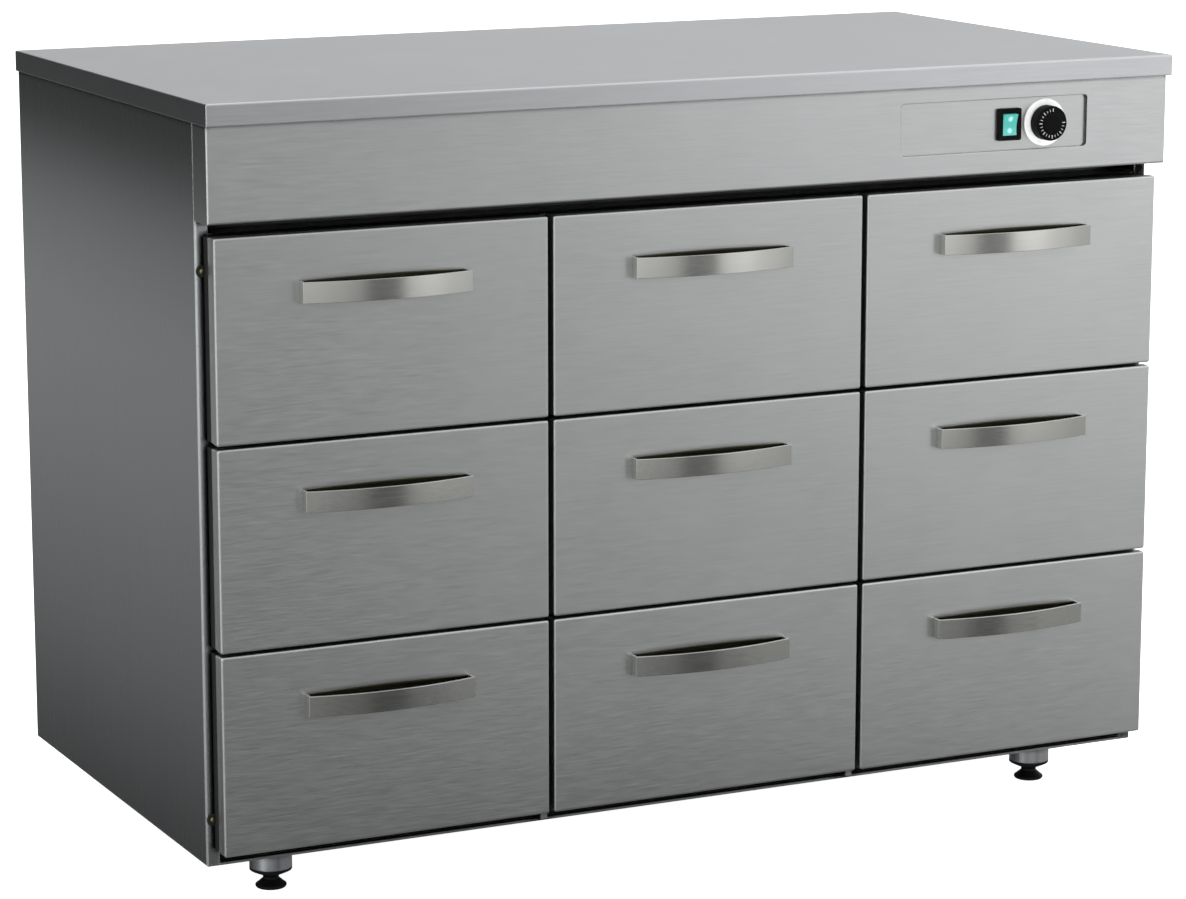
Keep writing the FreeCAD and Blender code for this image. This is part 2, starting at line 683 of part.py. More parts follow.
def leg_inserts():
    """Moulded insert in each leg sleeve, closing to a neck with the bore of the foot's stem."""
    outer = SLEEVE_DIAMETER / 2
    plug = outer - SLEEVE_WALL - INSERT_FIT
    neck = NECK_DIAMETER / 2
    bore = STEM_DIAMETER / 2 + STEM_PLAY
    low, rim = INSERT_FOOT_HEIGHT, SLEEVE_FLOOR_HEIGHT
    profile = [(bore, low), (neck, low), (outer, rim - INSERT_RIM), (outer, rim), (plug, rim),
               (plug, INSERT_PLUG_TOP), (bore, INSERT_PLUG_TOP)]
    return Part.makeCompound([turned(profile, x, y) for name, x, y in legs()])


def levelling_foot(x, y):
    """Foot pad with a cone and a neck, on a stem that screws in the insert."""
    profile = [(0, 0), (FOOT_BASE_DIAMETER / 2, 0), (FOOT_DIAMETER / 2, FOOT_RIM_BOTTOM),
               (FOOT_DIAMETER / 2, FOOT_CONE_BOTTOM), (NECK_DIAMETER / 2, FOOT_CONE_TOP),
               (NECK_DIAMETER / 2, INSERT_FOOT_HEIGHT - FOOT_SEAT_GAP),
               (STEM_DIAMETER / 2, INSERT_FOOT_HEIGHT - FOOT_SEAT_GAP), (STEM_DIAMETER / 2, STEM_TOP),
               (0, STEM_TOP)]
    return turned(profile, x, y)


def hexagon(across, centre, length):
    """Hexagonal nut blank pointing along Y."""
    radius = across / math.sqrt(3)
    points = []
    for index in range(7):
        angle = math.pi / 3 * index
        points.append(centre + vec(radius * math.cos(angle), 0, radius * math.sin(angle)))
    return Part.Face(Part.makePolygon(points)).extrude(vec(0, length, 0))


def cable_gland():
    """Gland in the back panel: hexagon and domed cap outside, thread and lock nut inside."""
    place = gland_place()
    inside = SHEET + GLAND_NUT_THICKNESS
    body = hexagon(GLAND_HEX, place, GLAND_HEX_THICKNESS)
    cap = rod(GLAND_CAP_DIAMETER, place + vec(0, GLAND_HEX_THICKNESS, 0), vec(0, 1, 0), GLAND_CAP_LENGTH)
    end = place.y + gland_projection
    cap = cap.makeChamfer(GLAND_CHAMFER, edges_where(cap, lambda m, d: near(m.y, end)))
    thread = rod(GLAND_THREAD_DIAMETER, place - vec(0, inside, 0), vec(0, 1, 0), inside)
    nut = hexagon(GLAND_HEX, place - vec(0, inside, 0), GLAND_NUT_THICKNESS)
    bore = rod(GLAND_BORE, place - vec(0, inside, 0), vec(0, 1, 0),
               inside + gland_projection)
    return body.fuse(cap).fuse(thread).fuse(nut).cut(bore).removeSplitter()


def drawer_front(x, z):
    """Insulated drawer front: an outer skin pan and a backing pan that closes it."""
    right, top = x + drawer_width, z + drawer_height
    skin = pan([x, right, face_y, face_y + SKIN_DEPTH, z, top], 1, False, DRAWER_SHEET, FOLD_RADIUS)
    inset = DRAWER_SHEET
    backing = pan([x + inset, right - inset, face_y + DRAWER_SHEET, front_back, z + inset, top - inset], 1,
                  True, DRAWER_SHEET)
    return Part.makeCompound([skin, backing])


def box_limits(x, z):
    """Left, right, bottom and top of the drawer box behind one front."""
    left = x + OPENING_INSET + BOX_SIDE_CLEARANCE
    right = x + drawer_width - OPENING_INSET - BOX_SIDE_CLEARANCE
    low = z + OPENING_INSET + BOX_FLOOR_CLEARANCE
    return left, right, low, z + drawer_height - OPENING_INSET - BOX_TOP_CLEARANCE


def drawer_box(x, z):
    """Open drawer tray of five welded sheets, its two sides with a rim turned outwards."""
    left, right, low, top = box_limits(x, z)
    end = front_back + box_depth
    base = low + DRAWER_SHEET
    sheets = [block(left, right, front_back, end, low, base)]
    for inside, outside in ((left + DRAWER_SHEET, left), (right - DRAWER_SHEET, right)):
        outwards = math.copysign(BOX_RIM, outside - inside)
        side = block(*sorted((inside, outside)), front_back, end, base, top)
        rim = block(*sorted((inside, outside + outwards)), front_back, end, top - DRAWER_SHEET, top)
        sheets.append(side.fuse(rim).removeSplitter())
    for y in (front_back, end - DRAWER_SHEET):
        sheets.append(block(left + DRAWER_SHEET, right - DRAWER_SHEET, y, y + DRAWER_SHEET, base, top))
    return Part.makeCompound(sheets)


def drawer_runners(x, z):
    """The pair of sliding channels on the sides of one drawer box."""
    left, right, low, top = box_limits(x, z)
    inset = RUNNER_SHEET + RUNNER_PLAY
    start = runner_base(z) + inset
    height = RUNNER_HEIGHT - 2 * inset
    end = front_back + box_depth
    return Part.makeCompound([channel(left, SLIDER_DEPTH, front_back, end, start, height, False),
                              channel(right, SLIDER_DEPTH, front_back, end, start, height, True)])


def bow_outline():
    """Plan of the handle at height zero: two end posts and a bowed flat bar, the drawer face at y = 0."""
    half = HANDLE_LENGTH / 2
    inner = half - HANDLE_POST
    crown = HANDLE_END_DEPTH + HANDLE_BOW
    depth = HANDLE_END_DEPTH - HANDLE_BAR
    outside = Part.Arc(vec(-half, -HANDLE_END_DEPTH, 0), vec(0, -crown, 0), vec(half, -HANDLE_END_DEPTH, 0))
    inside = Part.Arc(vec(inner, -depth, 0), vec(0, HANDLE_BAR - crown, 0), vec(-inner, -depth, 0))
    right = Part.makePolygon([vec(half, -HANDLE_END_DEPTH, 0), vec(half, 0, 0), vec(inner, 0, 0),
                              vec(inner, -depth, 0)])
    left = Part.makePolygon([vec(-inner, -depth, 0), vec(-inner, 0, 0), vec(-half, 0, 0),
                             vec(-half, -HANDLE_END_DEPTH, 0)])
    edges = [outside.toShape()] + right.Edges + [inside.toShape()] + left.Edges
    return Part.Face(Part.Wire(edges))


def handle_pad():
    """Backing pad with an arched upper edge, from the origin upwards, its back in the plane y = 0."""
    reach = HANDLE_LENGTH / 2 - HANDLE_POST
    crown = HANDLE_HEIGHT + PAD_RISE
    arch = Part.Arc(vec(reach, 0, HANDLE_HEIGHT), vec(0, 0, crown), vec(-reach, 0, HANDLE_HEIGHT))
    rest = Part.makePolygon([vec(-reach, 0, HANDLE_HEIGHT), vec(-reach, 0, 0), vec(reach, 0, 0),
                             vec(reach, 0, HANDLE_HEIGHT)])
    return Part.Face(Part.Wire([arch.toShape()] + rest.Edges)).extrude(vec(0, -PAD_THICKNESS, 0))


def drawer_handle(x, z):
    """Bow handle of flat bar on two end posts, with its backing pad on the drawer front."""
    low = z + drawer_height - HANDLE_BELOW_TOP - HANDLE_HEIGHT / 2
    handle = Part.makeCompound([bow_outline().extrude(vec(0, 0, HANDLE_HEIGHT)), handle_pad()])
    handle.translate(vec(x + drawer_width / 2, face_y, low))
    return handle


def build():
    """Every node of the cabinet by name."""
    nodes = {
        "worktop": worktop(),
        "side_panel_left": side_panel(),
        "side_panel_right": mirrored(side_panel()),
        "back_panel": back_panel(),
        "base_pan": base_pan(),
        "control_fascia": control_fascia(),
        "control_plate": control_plate(),
        "front_frame": front_frame(),
        "inner_walls": inner_walls(),
        "insulation": insulation(),
        "cabinet_runners": cabinet_runners(),
        "opening_seals": opening_seals(),
        "heating_element": heating_element(),
        "thermostat": thermostat(),
        "dial_ring": dial_ring(),
        "thermostat_knob": thermostat_knob(),
        "switch_bezel": switch_bezel(),
        "rocker": rocker(),
        "leg_inserts": leg_inserts(),
        "cable_gland": cable_gland(),
    }
    for name, x, y in legs():
        nodes["levelling_foot_" + name] = levelling_foot(x, y)
    for row, column, x, z in cells():
        place = "_r%dc%d" % (row + 1, column + 1)
        nodes["drawer_front" + place] = drawer_front(x, z)
        nodes["drawer_box" + place] = drawer_box(x, z)
        nodes["drawer_runners" + place] = drawer_runners(x, z)
        nodes["drawer_handle" + place] = drawer_handle(x, z)
    return nodes


os.makedirs("parts", exist_ok=True)
for node, shape in build().items():
    shape.exportStep("parts/" + node + ".step")
print("box of the cabinet: %.1f wide, %.1f deep, %.1f high" % (WORKTOP_WIDTH, total_depth, WORKTOP_HEIGHT))
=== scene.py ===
"""Looks of a heated nine-drawer cabinet in brushed stainless sheet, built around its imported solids.

Lengths are metres. X runs to the right, Y to the back and Z up, with the floor at Z = 0.
"""

from __future__ import annotations

import logging
import math
from dataclasses import dataclass, field, replace
from enum import Enum
from typing import Callable, Iterable

import bmesh
import bpy
from mathutils import Matrix, Vector


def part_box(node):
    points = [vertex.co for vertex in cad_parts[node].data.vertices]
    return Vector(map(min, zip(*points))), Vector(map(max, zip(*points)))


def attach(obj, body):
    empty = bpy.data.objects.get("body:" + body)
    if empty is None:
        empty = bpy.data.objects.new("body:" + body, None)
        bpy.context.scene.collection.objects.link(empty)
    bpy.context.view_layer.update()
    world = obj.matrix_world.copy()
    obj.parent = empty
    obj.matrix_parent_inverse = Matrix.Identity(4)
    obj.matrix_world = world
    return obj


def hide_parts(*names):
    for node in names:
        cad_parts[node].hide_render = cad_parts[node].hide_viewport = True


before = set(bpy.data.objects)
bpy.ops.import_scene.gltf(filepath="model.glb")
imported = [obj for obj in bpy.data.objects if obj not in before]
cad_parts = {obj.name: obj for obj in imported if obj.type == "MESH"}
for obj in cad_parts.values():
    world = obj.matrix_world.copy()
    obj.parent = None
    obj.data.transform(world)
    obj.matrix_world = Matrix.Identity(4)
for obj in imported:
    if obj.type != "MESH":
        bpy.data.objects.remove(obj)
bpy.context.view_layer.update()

LOG = logging.getLogger("warming_cabinet")
MM = 0.001
ROWS = (1, 2, 3)
COLUMNS = (1, 2, 3)
FRONT = Vector((0, -1, 0))
BACK = Vector((0, 1, 0))
UP = Vector((0, 0, 1))
WHITE = (1.0, 1.0, 1.0)
# Black that the painted shade darkens surfaces towards.
PAINTED_SHADE_BLACK = (0.004, 0.004, 0.004)
EDGE_SAMPLES = 4
GAP_SAMPLES = 6
TINY = 1e-6

Color = tuple[float, float, float]
Mesh = bmesh.types.BMesh
Vert = bmesh.types.BMVert
Edge = bmesh.types.BMEdge
Socket = bpy.types.NodeSocket
Tree = bpy.types.ShaderNodeTree


class Grain(Enum):
    """Direction that a sheet was brushed in."""

    ACROSS = "x"
    DEEP = "y"
    UPRIGHT = "z"


class Body(Enum):
    """Rigid bodies of the cabinet that are not drawers or feet."""

    CABINET = "cabinet"
    KNOB = "knob"
    ROCKER = "rocker_button"


# Node trees and the shader effects that several finishes share


@dataclass
class Nodes:
    """Node tree that is being filled."""

    tree: Tree

    def feed(self, target: Socket, value: object) -> None:
        """Link a socket to an input, or set a number, vector or colour on it.

        Args:
            target: The input.
            value: The socket, or the number, vector or colour of three numbers.
        """
        if isinstance(value, Socket):
            self.tree.links.new(value, target)
        else:
            target.default_value = (*value, 1.0) if target.type == "RGBA" else value

    def node(self, kind: str, **settings: object) -> bpy.types.Node:
        """Add a node.

        Args:
            kind: Node type without the ShaderNode prefix.
            **settings: Properties, then inputs, which start with a capital and have underscores for spaces.

        Returns:
            The node.
        """
        made = self.tree.nodes.new("ShaderNode" + kind)
        for key, value in settings.items():
            if key[0].isupper():
                self.feed(made.inputs[key.replace("_", " ")], value)
            else:
                setattr(made, key, value)
        return made

    def filled(self, made: bpy.types.Node, values: dict[int, object], output: int = 0) -> Socket:
        """Feed inputs by their number.

        Args:
            made: The node.
            values: What goes into each input.
            output: Number of the output.

        Returns:
            The output.
        """
        for index, value in values.items():
            self.feed(made.inputs[index], value)
        return made.outputs[output]

    def math(self, operation: str, *values: object, clamp: bool = False) -> Socket:
        """Result of a math operation on sockets or numbers, kept between 0 and 1 if clamped."""
        return self.filled(self.node("Math", operation=operation, use_clamp=clamp), dict(enumerate(values)))

    def spread(self, source: Socket, low: float = 0.0, high: float = 1.0, start: float = 0.3,
               end: float = 0.7) -> Socket:
        """Map a value to a range.

        Args:
            source: The value.
            low: Result at the start of the value's range.
            high: Result at its end.
            start: Value that gives low.
            end: Value that gives high.

        Returns:
            The mapped value.
        """
        made = self.node("MapRange", Value=source, From_Min=start, From_Max=end, To_Min=low, To_Max=high)
        return made.outputs["Result"]

    def blend(self, factor: Socket, first: object, second: object) -> Socket:
        """Mix of two colours or sockets: the first at factor 0 and the second at 1."""
        return self.filled(self.node("Mix", data_type="RGBA"), {0: factor, 6: first, 7: second}, 2)

    def shader_mix(self, factor: Socket, first: Socket, second: Socket) -> Socket:
        """Mix of two shaders: the first at factor 0 and the second at 1."""
        return self.filled(self.node("MixShader"), {0: factor, 1: first, 2: second})

    def ramp(self, source: Socket, stops: Iterable[tuple[float, float]], kind: str) -> Socket:
        """Grey by a value from 0 to 1.

        Args:
            source: The value.
            stops: Place from 0 to 1 and brightness of each stop.
            kind: How the stops are joined.

        Returns:
            The colour.
        """
        made = self.node("ValToRGB", Fac=source)
        made.color_ramp.interpolation = kind
        elements = made.color_ramp.elements
        for place, tone in stops:
            element = elements.new(place) if 0 < place < 1 else elements[0 if place == 0 else -1]
            element.color = (tone, tone, tone, 1.0)
        return made.outputs["Color"]


@dataclass
class EffectGroup(Nodes):
    """Shader node group of one effect.

    Attributes:
        name: Name of the group.
        entries: Default of each number that goes in, or none for a vector.
        results: Names of the values that come out, from 0 to 1.
    """

    tree: Tree = field(init=False)
    name: str
    entries: dict[str, float | None]
    results: tuple[str, ...]

    def __post_init__(self) -> None:
        """Make the group with its sockets."""
        self.tree = bpy.data.node_groups.new(self.name, "ShaderNodeTree")
        self.entry = self.tree.nodes.new("NodeGroupInput").outputs
        self.leave = self.tree.nodes.new("NodeGroupOutput").inputs
        for name, value in self.entries.items():
            kind = "NodeSocketVector" if value is None else "NodeSocketFloat"
            made = self.tree.interface.new_socket(name, in_out="INPUT", socket_type=kind)
            if value is not None:
                made.default_value = value
        for name in self.results:
            self.tree.interface.new_socket(name, in_out="OUTPUT", socket_type="NodeSocketFloat")


@dataclass(frozen=True)
class NoiseLayer:
    """One noise of an effect: the name of its value, the vector that it follows, and its settings."""

    name: str
    source: str
    scale: float
    detail: float
    roughness: float


def noise_group(name: str, layers: tuple[NoiseLayer, ...]) -> Tree:
    """Effect that puts out one value for each noise.

    Args:
        name: Name of the group.
        layers: The noises.

    Returns:
        The group.
    """
    group = EffectGroup(name, {layer.source: None for layer in layers}, tuple(layer.name for layer in layers))
    for layer in layers:
        noise = group.node("TexNoise", Vector=group.entry[layer.source], Scale=layer.scale,
                           Detail=layer.detail, Roughness=layer.roughness)
        group.feed(group.leave[layer.name], noise.outputs["Fac"])
    return group.tree


def brushed_grain_group() -> Tree:
    """Grain of brushed sheet: fine scratches, longer streaks and broad clouds."""
    return noise_group("brushed_grain", (NoiseLayer("Fine", "Grain Vector", 1.0, 3.0, 0.62),
                                         NoiseLayer("Streak", "Grain Vector", 0.42, 4.0, 0.62),
                                         NoiseLayer("Cloud", "Place Vector", 5.0, 3.0, 0.62)))


def moulded_skin_group() -> Tree:
    """Fine orange-peel of moulded plastic with faint scuffs."""
    return noise_group("moulded_skin", (NoiseLayer("Peel", "Place Vector", 900.0, 2.0, 0.5),
                                        NoiseLayer("Scuff", "Place Vector", 60.0, 5.0, 0.5)))


def painted_edge_highlight_group() -> Tree:
    """Mask of the folded and handled edges, where a lighter highlight is painted.

    Returns:
        The group.
    """
    group = EffectGroup("edge_shine", {"Radius": 1.5 * MM, "Gain": 3.0, "Break Up": 0.5}, ("Mask",))
    rounded = group.node("Bevel", samples=EDGE_SAMPLES, Radius=group.entry["Radius"]).outputs["Normal"]
    plain = group.node("NewGeometry").outputs["True Normal"]
    dot = group.node("VectorMath", operation="DOT_PRODUCT")
    group.filled(dot, {0: rounded, 1: plain})
    bent = group.math("SUBTRACT", 1.0, dot.outputs["Value"], clamp=True)
    strong = group.math("MULTIPLY", bent, group.entry["Gain"], clamp=True)
    broken = group.math("MULTIPLY_ADD", group.entry["Break Up"], 0.6, 0.7)
    group.feed(group.leave["Mask"], group.math("MULTIPLY", strong, broken, clamp=True))
    return group.tree


def painted_shade_group() -> Tree:
    """Mask of the painted shade in narrow gaps and inner corners, by how closed in each point is.

    Returns:
        The group.
    """
    group = EffectGroup("crevice", {"Reach": 30 * MM, "Sharpness": 1.5}, ("Mask",))
    open_share = group.node("AmbientOcclusion", samples=GAP_SAMPLES, Distance=group.entry["Reach"])
    closed = group.math("SUBTRACT", 1.0, open_share.outputs["AO"], clamp=True)
    group.feed(group.leave["Mask"], group.math("MULTIPLY", closed, group.entry["Sharpness"], clamp=True))
    return group.tree


@dataclass(frozen=True)
class Effects:
    """The shader node groups, each built once."""

    grain: Tree = field(default_factory=brushed_grain_group)
    # Mask of the painted edge highlight.
    edges: Tree = field(default_factory=painted_edge_highlight_group)
    skin: Tree = field(default_factory=moulded_skin_group)
    # Mask of the painted shade in gaps.
    crevice: Tree = field(default_factory=painted_shade_group)


@dataclass
class Recipe(Nodes):
    """Node tree of one material with its Principled shader.

    Attributes:
        name: Name of the material.
        effects: Shared node groups.
    """

    tree: Tree = field(init=False)
    name: str
    effects: Effects

    def __post_init__(self) -> None:
        """Make the material, its shader and its object coordinates."""
        self.material = bpy.data.materials.new(self.name)
        self.material.use_nodes = True
        self.tree = self.material.node_tree
        self.shader = self.tree.nodes["Principled BSDF"]
        self.coordinates = self.node("TexCoord").outputs["Object"]

    def surface(self, **values: object) -> None:
        """Feed the shader's own sockets, named with underscores for spaces."""
        for key, value in values.items():
            self.feed(self.shader.inputs[key.replace("_", " ")], value)

    def stretched(self, scale: Vector) -> Socket:
        """Object coordinates scaled along each axis."""
        return self.node("Mapping", Vector=self.coordinates, Scale=scale).outputs["Vector"]

    def grained(self, scale: Vector) -> bpy.types.bpy_prop_collection:
        """Values of the brushed grain, with its scratches stretched along each axis."""
        return self.node("Group", node_tree=self.effects.grain, Grain_Vector=self.stretched(scale),
                         Place_Vector=self.coordinates).outputs

    def skinned(self) -> bpy.types.bpy_prop_collection:
        """Values of the moulded skin."""
        return self.node("Group", node_tree=self.effects.skin, Place_Vector=self.coordinates).outputs

    def bump(self, height: Socket, strength: float, distance: float, edge: float = 0.0) -> None:
        """Feed a bump into the shader's normal.

        Args:
            height: Height from 0 to 1.
            strength: Share of the bump.
            distance: Depth of the relief in metres.
            edge: Radius that hard edges are shaded with, or 0.
        """
        made = self.node("Bump", Strength=strength, Distance=distance, Height=height)
        if edge > 0:
            rounded = self.node("Bevel", samples=EDGE_SAMPLES, Radius=edge)
            self.feed(made.inputs["Normal"], rounded.outputs["Normal"])
        self.surface(Normal=made.outputs["Normal"])


# Finishes


@dataclass(frozen=True)
class Finish:
    """Common work of every finish, with the name of its material and its main colour."""

    name: str
    tint: Color

    def build(self, effects: Effects) -> bpy.types.Material:
        """Make the material.

        Args:
            effects: Shared node groups.

        Returns:
            The material.
        """
        recipe = Recipe(self.name, effects)
        self.paint(recipe)
        return recipe.material

    def paint(self, recipe: Recipe) -> None:
        """Fill the material's recipe."""
        raise NotImplementedError

    def toned(self, share: float, lift: float = 0.0) -> Color:
        """The tint times a share, lifted by an amount."""
        return tuple(min(1.0, part * share + lift) for part in self.tint)


@dataclass(frozen=True)
class BrushedSheet(Finish):
    """Stainless sheet brushed in one direction.

    Attributes:
        grain: Direction of the brushing.
        roughness: Middle of the roughness.
        contrast: Depth of the streaks in colour.
        relief: Depth of the scratches in metres.
        edge: Radius that folds are shaded with.
        shine: Strength of the painted highlight on edges, from 0.
        shade: Strength of the painted shade in narrow gaps, from 0.
        reach: Width of the gaps that get painted shade.
        along: Scratches per metre along the brushing.
        across: Scratches per metre across it.
        play: How far the roughness strays from its middle.
        highlight_tone: Brightness of the painted edge highlight as a share of the tint.
        depth: Share of the bump of the scratches.
        painted_shade_above: Height from which painted shade under the drawers turns the sheet black, or 0 for
            none.
    """

    tint: Color = (0.60, 0.61, 0.605)
    grain: Grain = Grain.ACROSS
    roughness: float = 0.34
    contrast: float = 0.055
    relief: float = 0.00006
    edge: float = 1.8 * MM
    shine: float = 2.2
    shade: float = 0.0
    reach: float = 30 * MM
    along: float = 14.0
    across: float = 900.0
    play: float = 0.05
    highlight_tone: float = 1.5
    depth: float = 0.35
    painted_shade_above: float = 0.0

    def paint(self, recipe: Recipe) -> None:
        """Streaks along the grain, clouds, painted shade in gaps and painted highlights on edges.

        Args:
            recipe: Recipe of the material.
        """
        scale = Vector((self.across,) * 3)
        scale["xyz".index(self.grain.value)] = self.along
        grain = recipe.grained(scale)
        shine = recipe.node("Group", node_tree=recipe.effects.edges, Radius=self.edge, Gain=self.shine,
                            Break_Up=grain["Cloud"])
        light = self.toned(1 + self.contrast)
        both = recipe.math("ADD", *(recipe.spread(grain[name], 0, 0.5) for name in ("Streak", "Fine")))
        streaks = recipe.blend(both, self.toned(1 - self.contrast), light)
        color = recipe.blend(recipe.spread(grain["Cloud"], 0.0, 0.5, 0.35, 0.65), streaks, light)
        # Painted shade: darkens the colour towards black in narrow gaps and inner corners.
        if self.shade > 0:
            gap_shade = recipe.node("Group", node_tree=recipe.effects.crevice, Reach=self.reach,
                               Sharpness=self.shade)
            color = recipe.blend(gap_shade.outputs["Mask"], color, PAINTED_SHADE_BLACK)
        # Painted shade: blackens the sheet above a height, where it lies under the drawers.
        if self.painted_shade_above > 0:
            height = recipe.node("SeparateXYZ", Vector=recipe.coordinates).outputs["Z"]
            shade_under_drawers = recipe.spread(height, 0.0, 1.0, self.painted_shade_above, self.painted_shade_above + 1.0 * MM)
            color = recipe.blend(shade_under_drawers, color, PAINTED_SHADE_BLACK)
        # Painted highlight: lightens the folded edges.
        color = recipe.blend(shine.outputs["Mask"], color, self.toned(self.highlight_tone))
        rough = recipe.spread(grain["Fine"], self.roughness - self.play, self.roughness + self.play)
        recipe.surface(Base_Color=color, Metallic=1.0, Roughness=rough)
        recipe.bump(grain["Fine"], self.depth, self.relief, self.edge)


@dataclass(frozen=True)
class MouldedPlastic(Finish):
    """Moulded plastic or rubber.

    Attributes:
        roughness: Middle of the roughness.
        relief: Depth of its skin in metres.
        gloss: Specular level.
        play: How far the roughness strays from its middle.
    """

    roughness: float = 0.5
    relief: float = 0.00004
    gloss: float = 0.35
    play: float = 0.08

    def paint(self, recipe: Recipe) -> None:
        """Faint scuffs, edges lightened by a painted highlight and rubbed wear, and a moulded skin.

        Args:
            recipe: Recipe of the material.
        """
        skin = recipe.skinned()
        shine = recipe.node("Group", node_tree=recipe.effects.edges, Radius=0.6 * MM, Gain=1.4, Break_Up=0.4)
        mottled = recipe.blend(recipe.spread(skin["Scuff"]), self.toned(0.85), self.tint)
        # Painted highlight with rubbed wear: lightens the edges.
        rubbed_and_highlit = recipe.blend(shine.outputs["Mask"], mottled, self.toned(1.25, 0.012))
        rough = recipe.spread(skin["Scuff"], self.roughness - self.play, self.roughness + self.play)
        recipe.surface(Base_Color=rubbed_and_highlit, Roughness=rough, Specular_IOR_Level=self.gloss)
        recipe.bump(skin["Peel"], 0.3, self.relief)


@dataclass(frozen=True)
class LitRocker(Finish):
    """Clear coloured plastic that gives off light, brighter towards each end.

    Attributes:
        centre: Middle of the rocker.
        reach: Distance of each lit end from the middle.
        glow: Colour of the lit ends.
        dim: Light that the plastic gives off between its ends.
        bright: Light that it gives off at each end.
        spot: Distances from each end's brightest point between which the extra light falls off.
    """

    centre: Vector
    reach: float
    glow: Color = (0.12, 0.30, 0.28)
    dim: Color = (0.045, 0.22, 0.20)
    bright: Color = (0.38, 0.76, 0.82)
    spot: tuple[float, float] = (0.6 * MM, 4.0 * MM)

    def paint(self, recipe: Recipe) -> None:
        """Lit ends in coloured plastic under a clear coat.

        Args:
            recipe: Recipe of the material.
        """
        skin = recipe.skinned()
        flat = recipe.stretched(Vector((1.0, 0.0, 1.0)))
        spots = []
        for sign in (-1, 1):
            away = recipe.node("VectorMath", operation="DISTANCE")
            recipe.filled(away, {0: flat, 1: (self.centre.x, 0.0, self.centre.z + sign * self.reach)})
            spots.append(recipe.spread(away.outputs["Value"], 1.0, 0.0, *self.spot))
        lit = recipe.math("MAXIMUM", *spots)
        recipe.surface(Base_Color=recipe.blend(lit, self.tint, self.glow),
                       Emission_Color=recipe.blend(lit, self.dim, self.bright), Emission_Strength=1.0,
                       Roughness=recipe.spread(skin["Scuff"], 0.12, 0.26), Coat_Weight=0.3,
                       Coat_Roughness=0.08)
        recipe.bump(skin["Peel"], 0.1, 0.00003)


@dataclass(frozen=True)
class MineralWool(Finish):
    """Matted fibres of insulation board."""

    def paint(self, recipe: Recipe) -> None:
        """Light and dark fibres with a coarse bump.

        Args:
            recipe: Recipe of the material.
        """
        grain = recipe.grained(Vector((60, 300, 300)))
        recipe.surface(Base_Color=recipe.blend(recipe.spread(grain["Fine"]), self.toned(0.6), self.tint),
                       Roughness=recipe.spread(grain["Cloud"], 0.85, 1.0))
        recipe.bump(grain["Fine"], 0.8, 1 * MM)


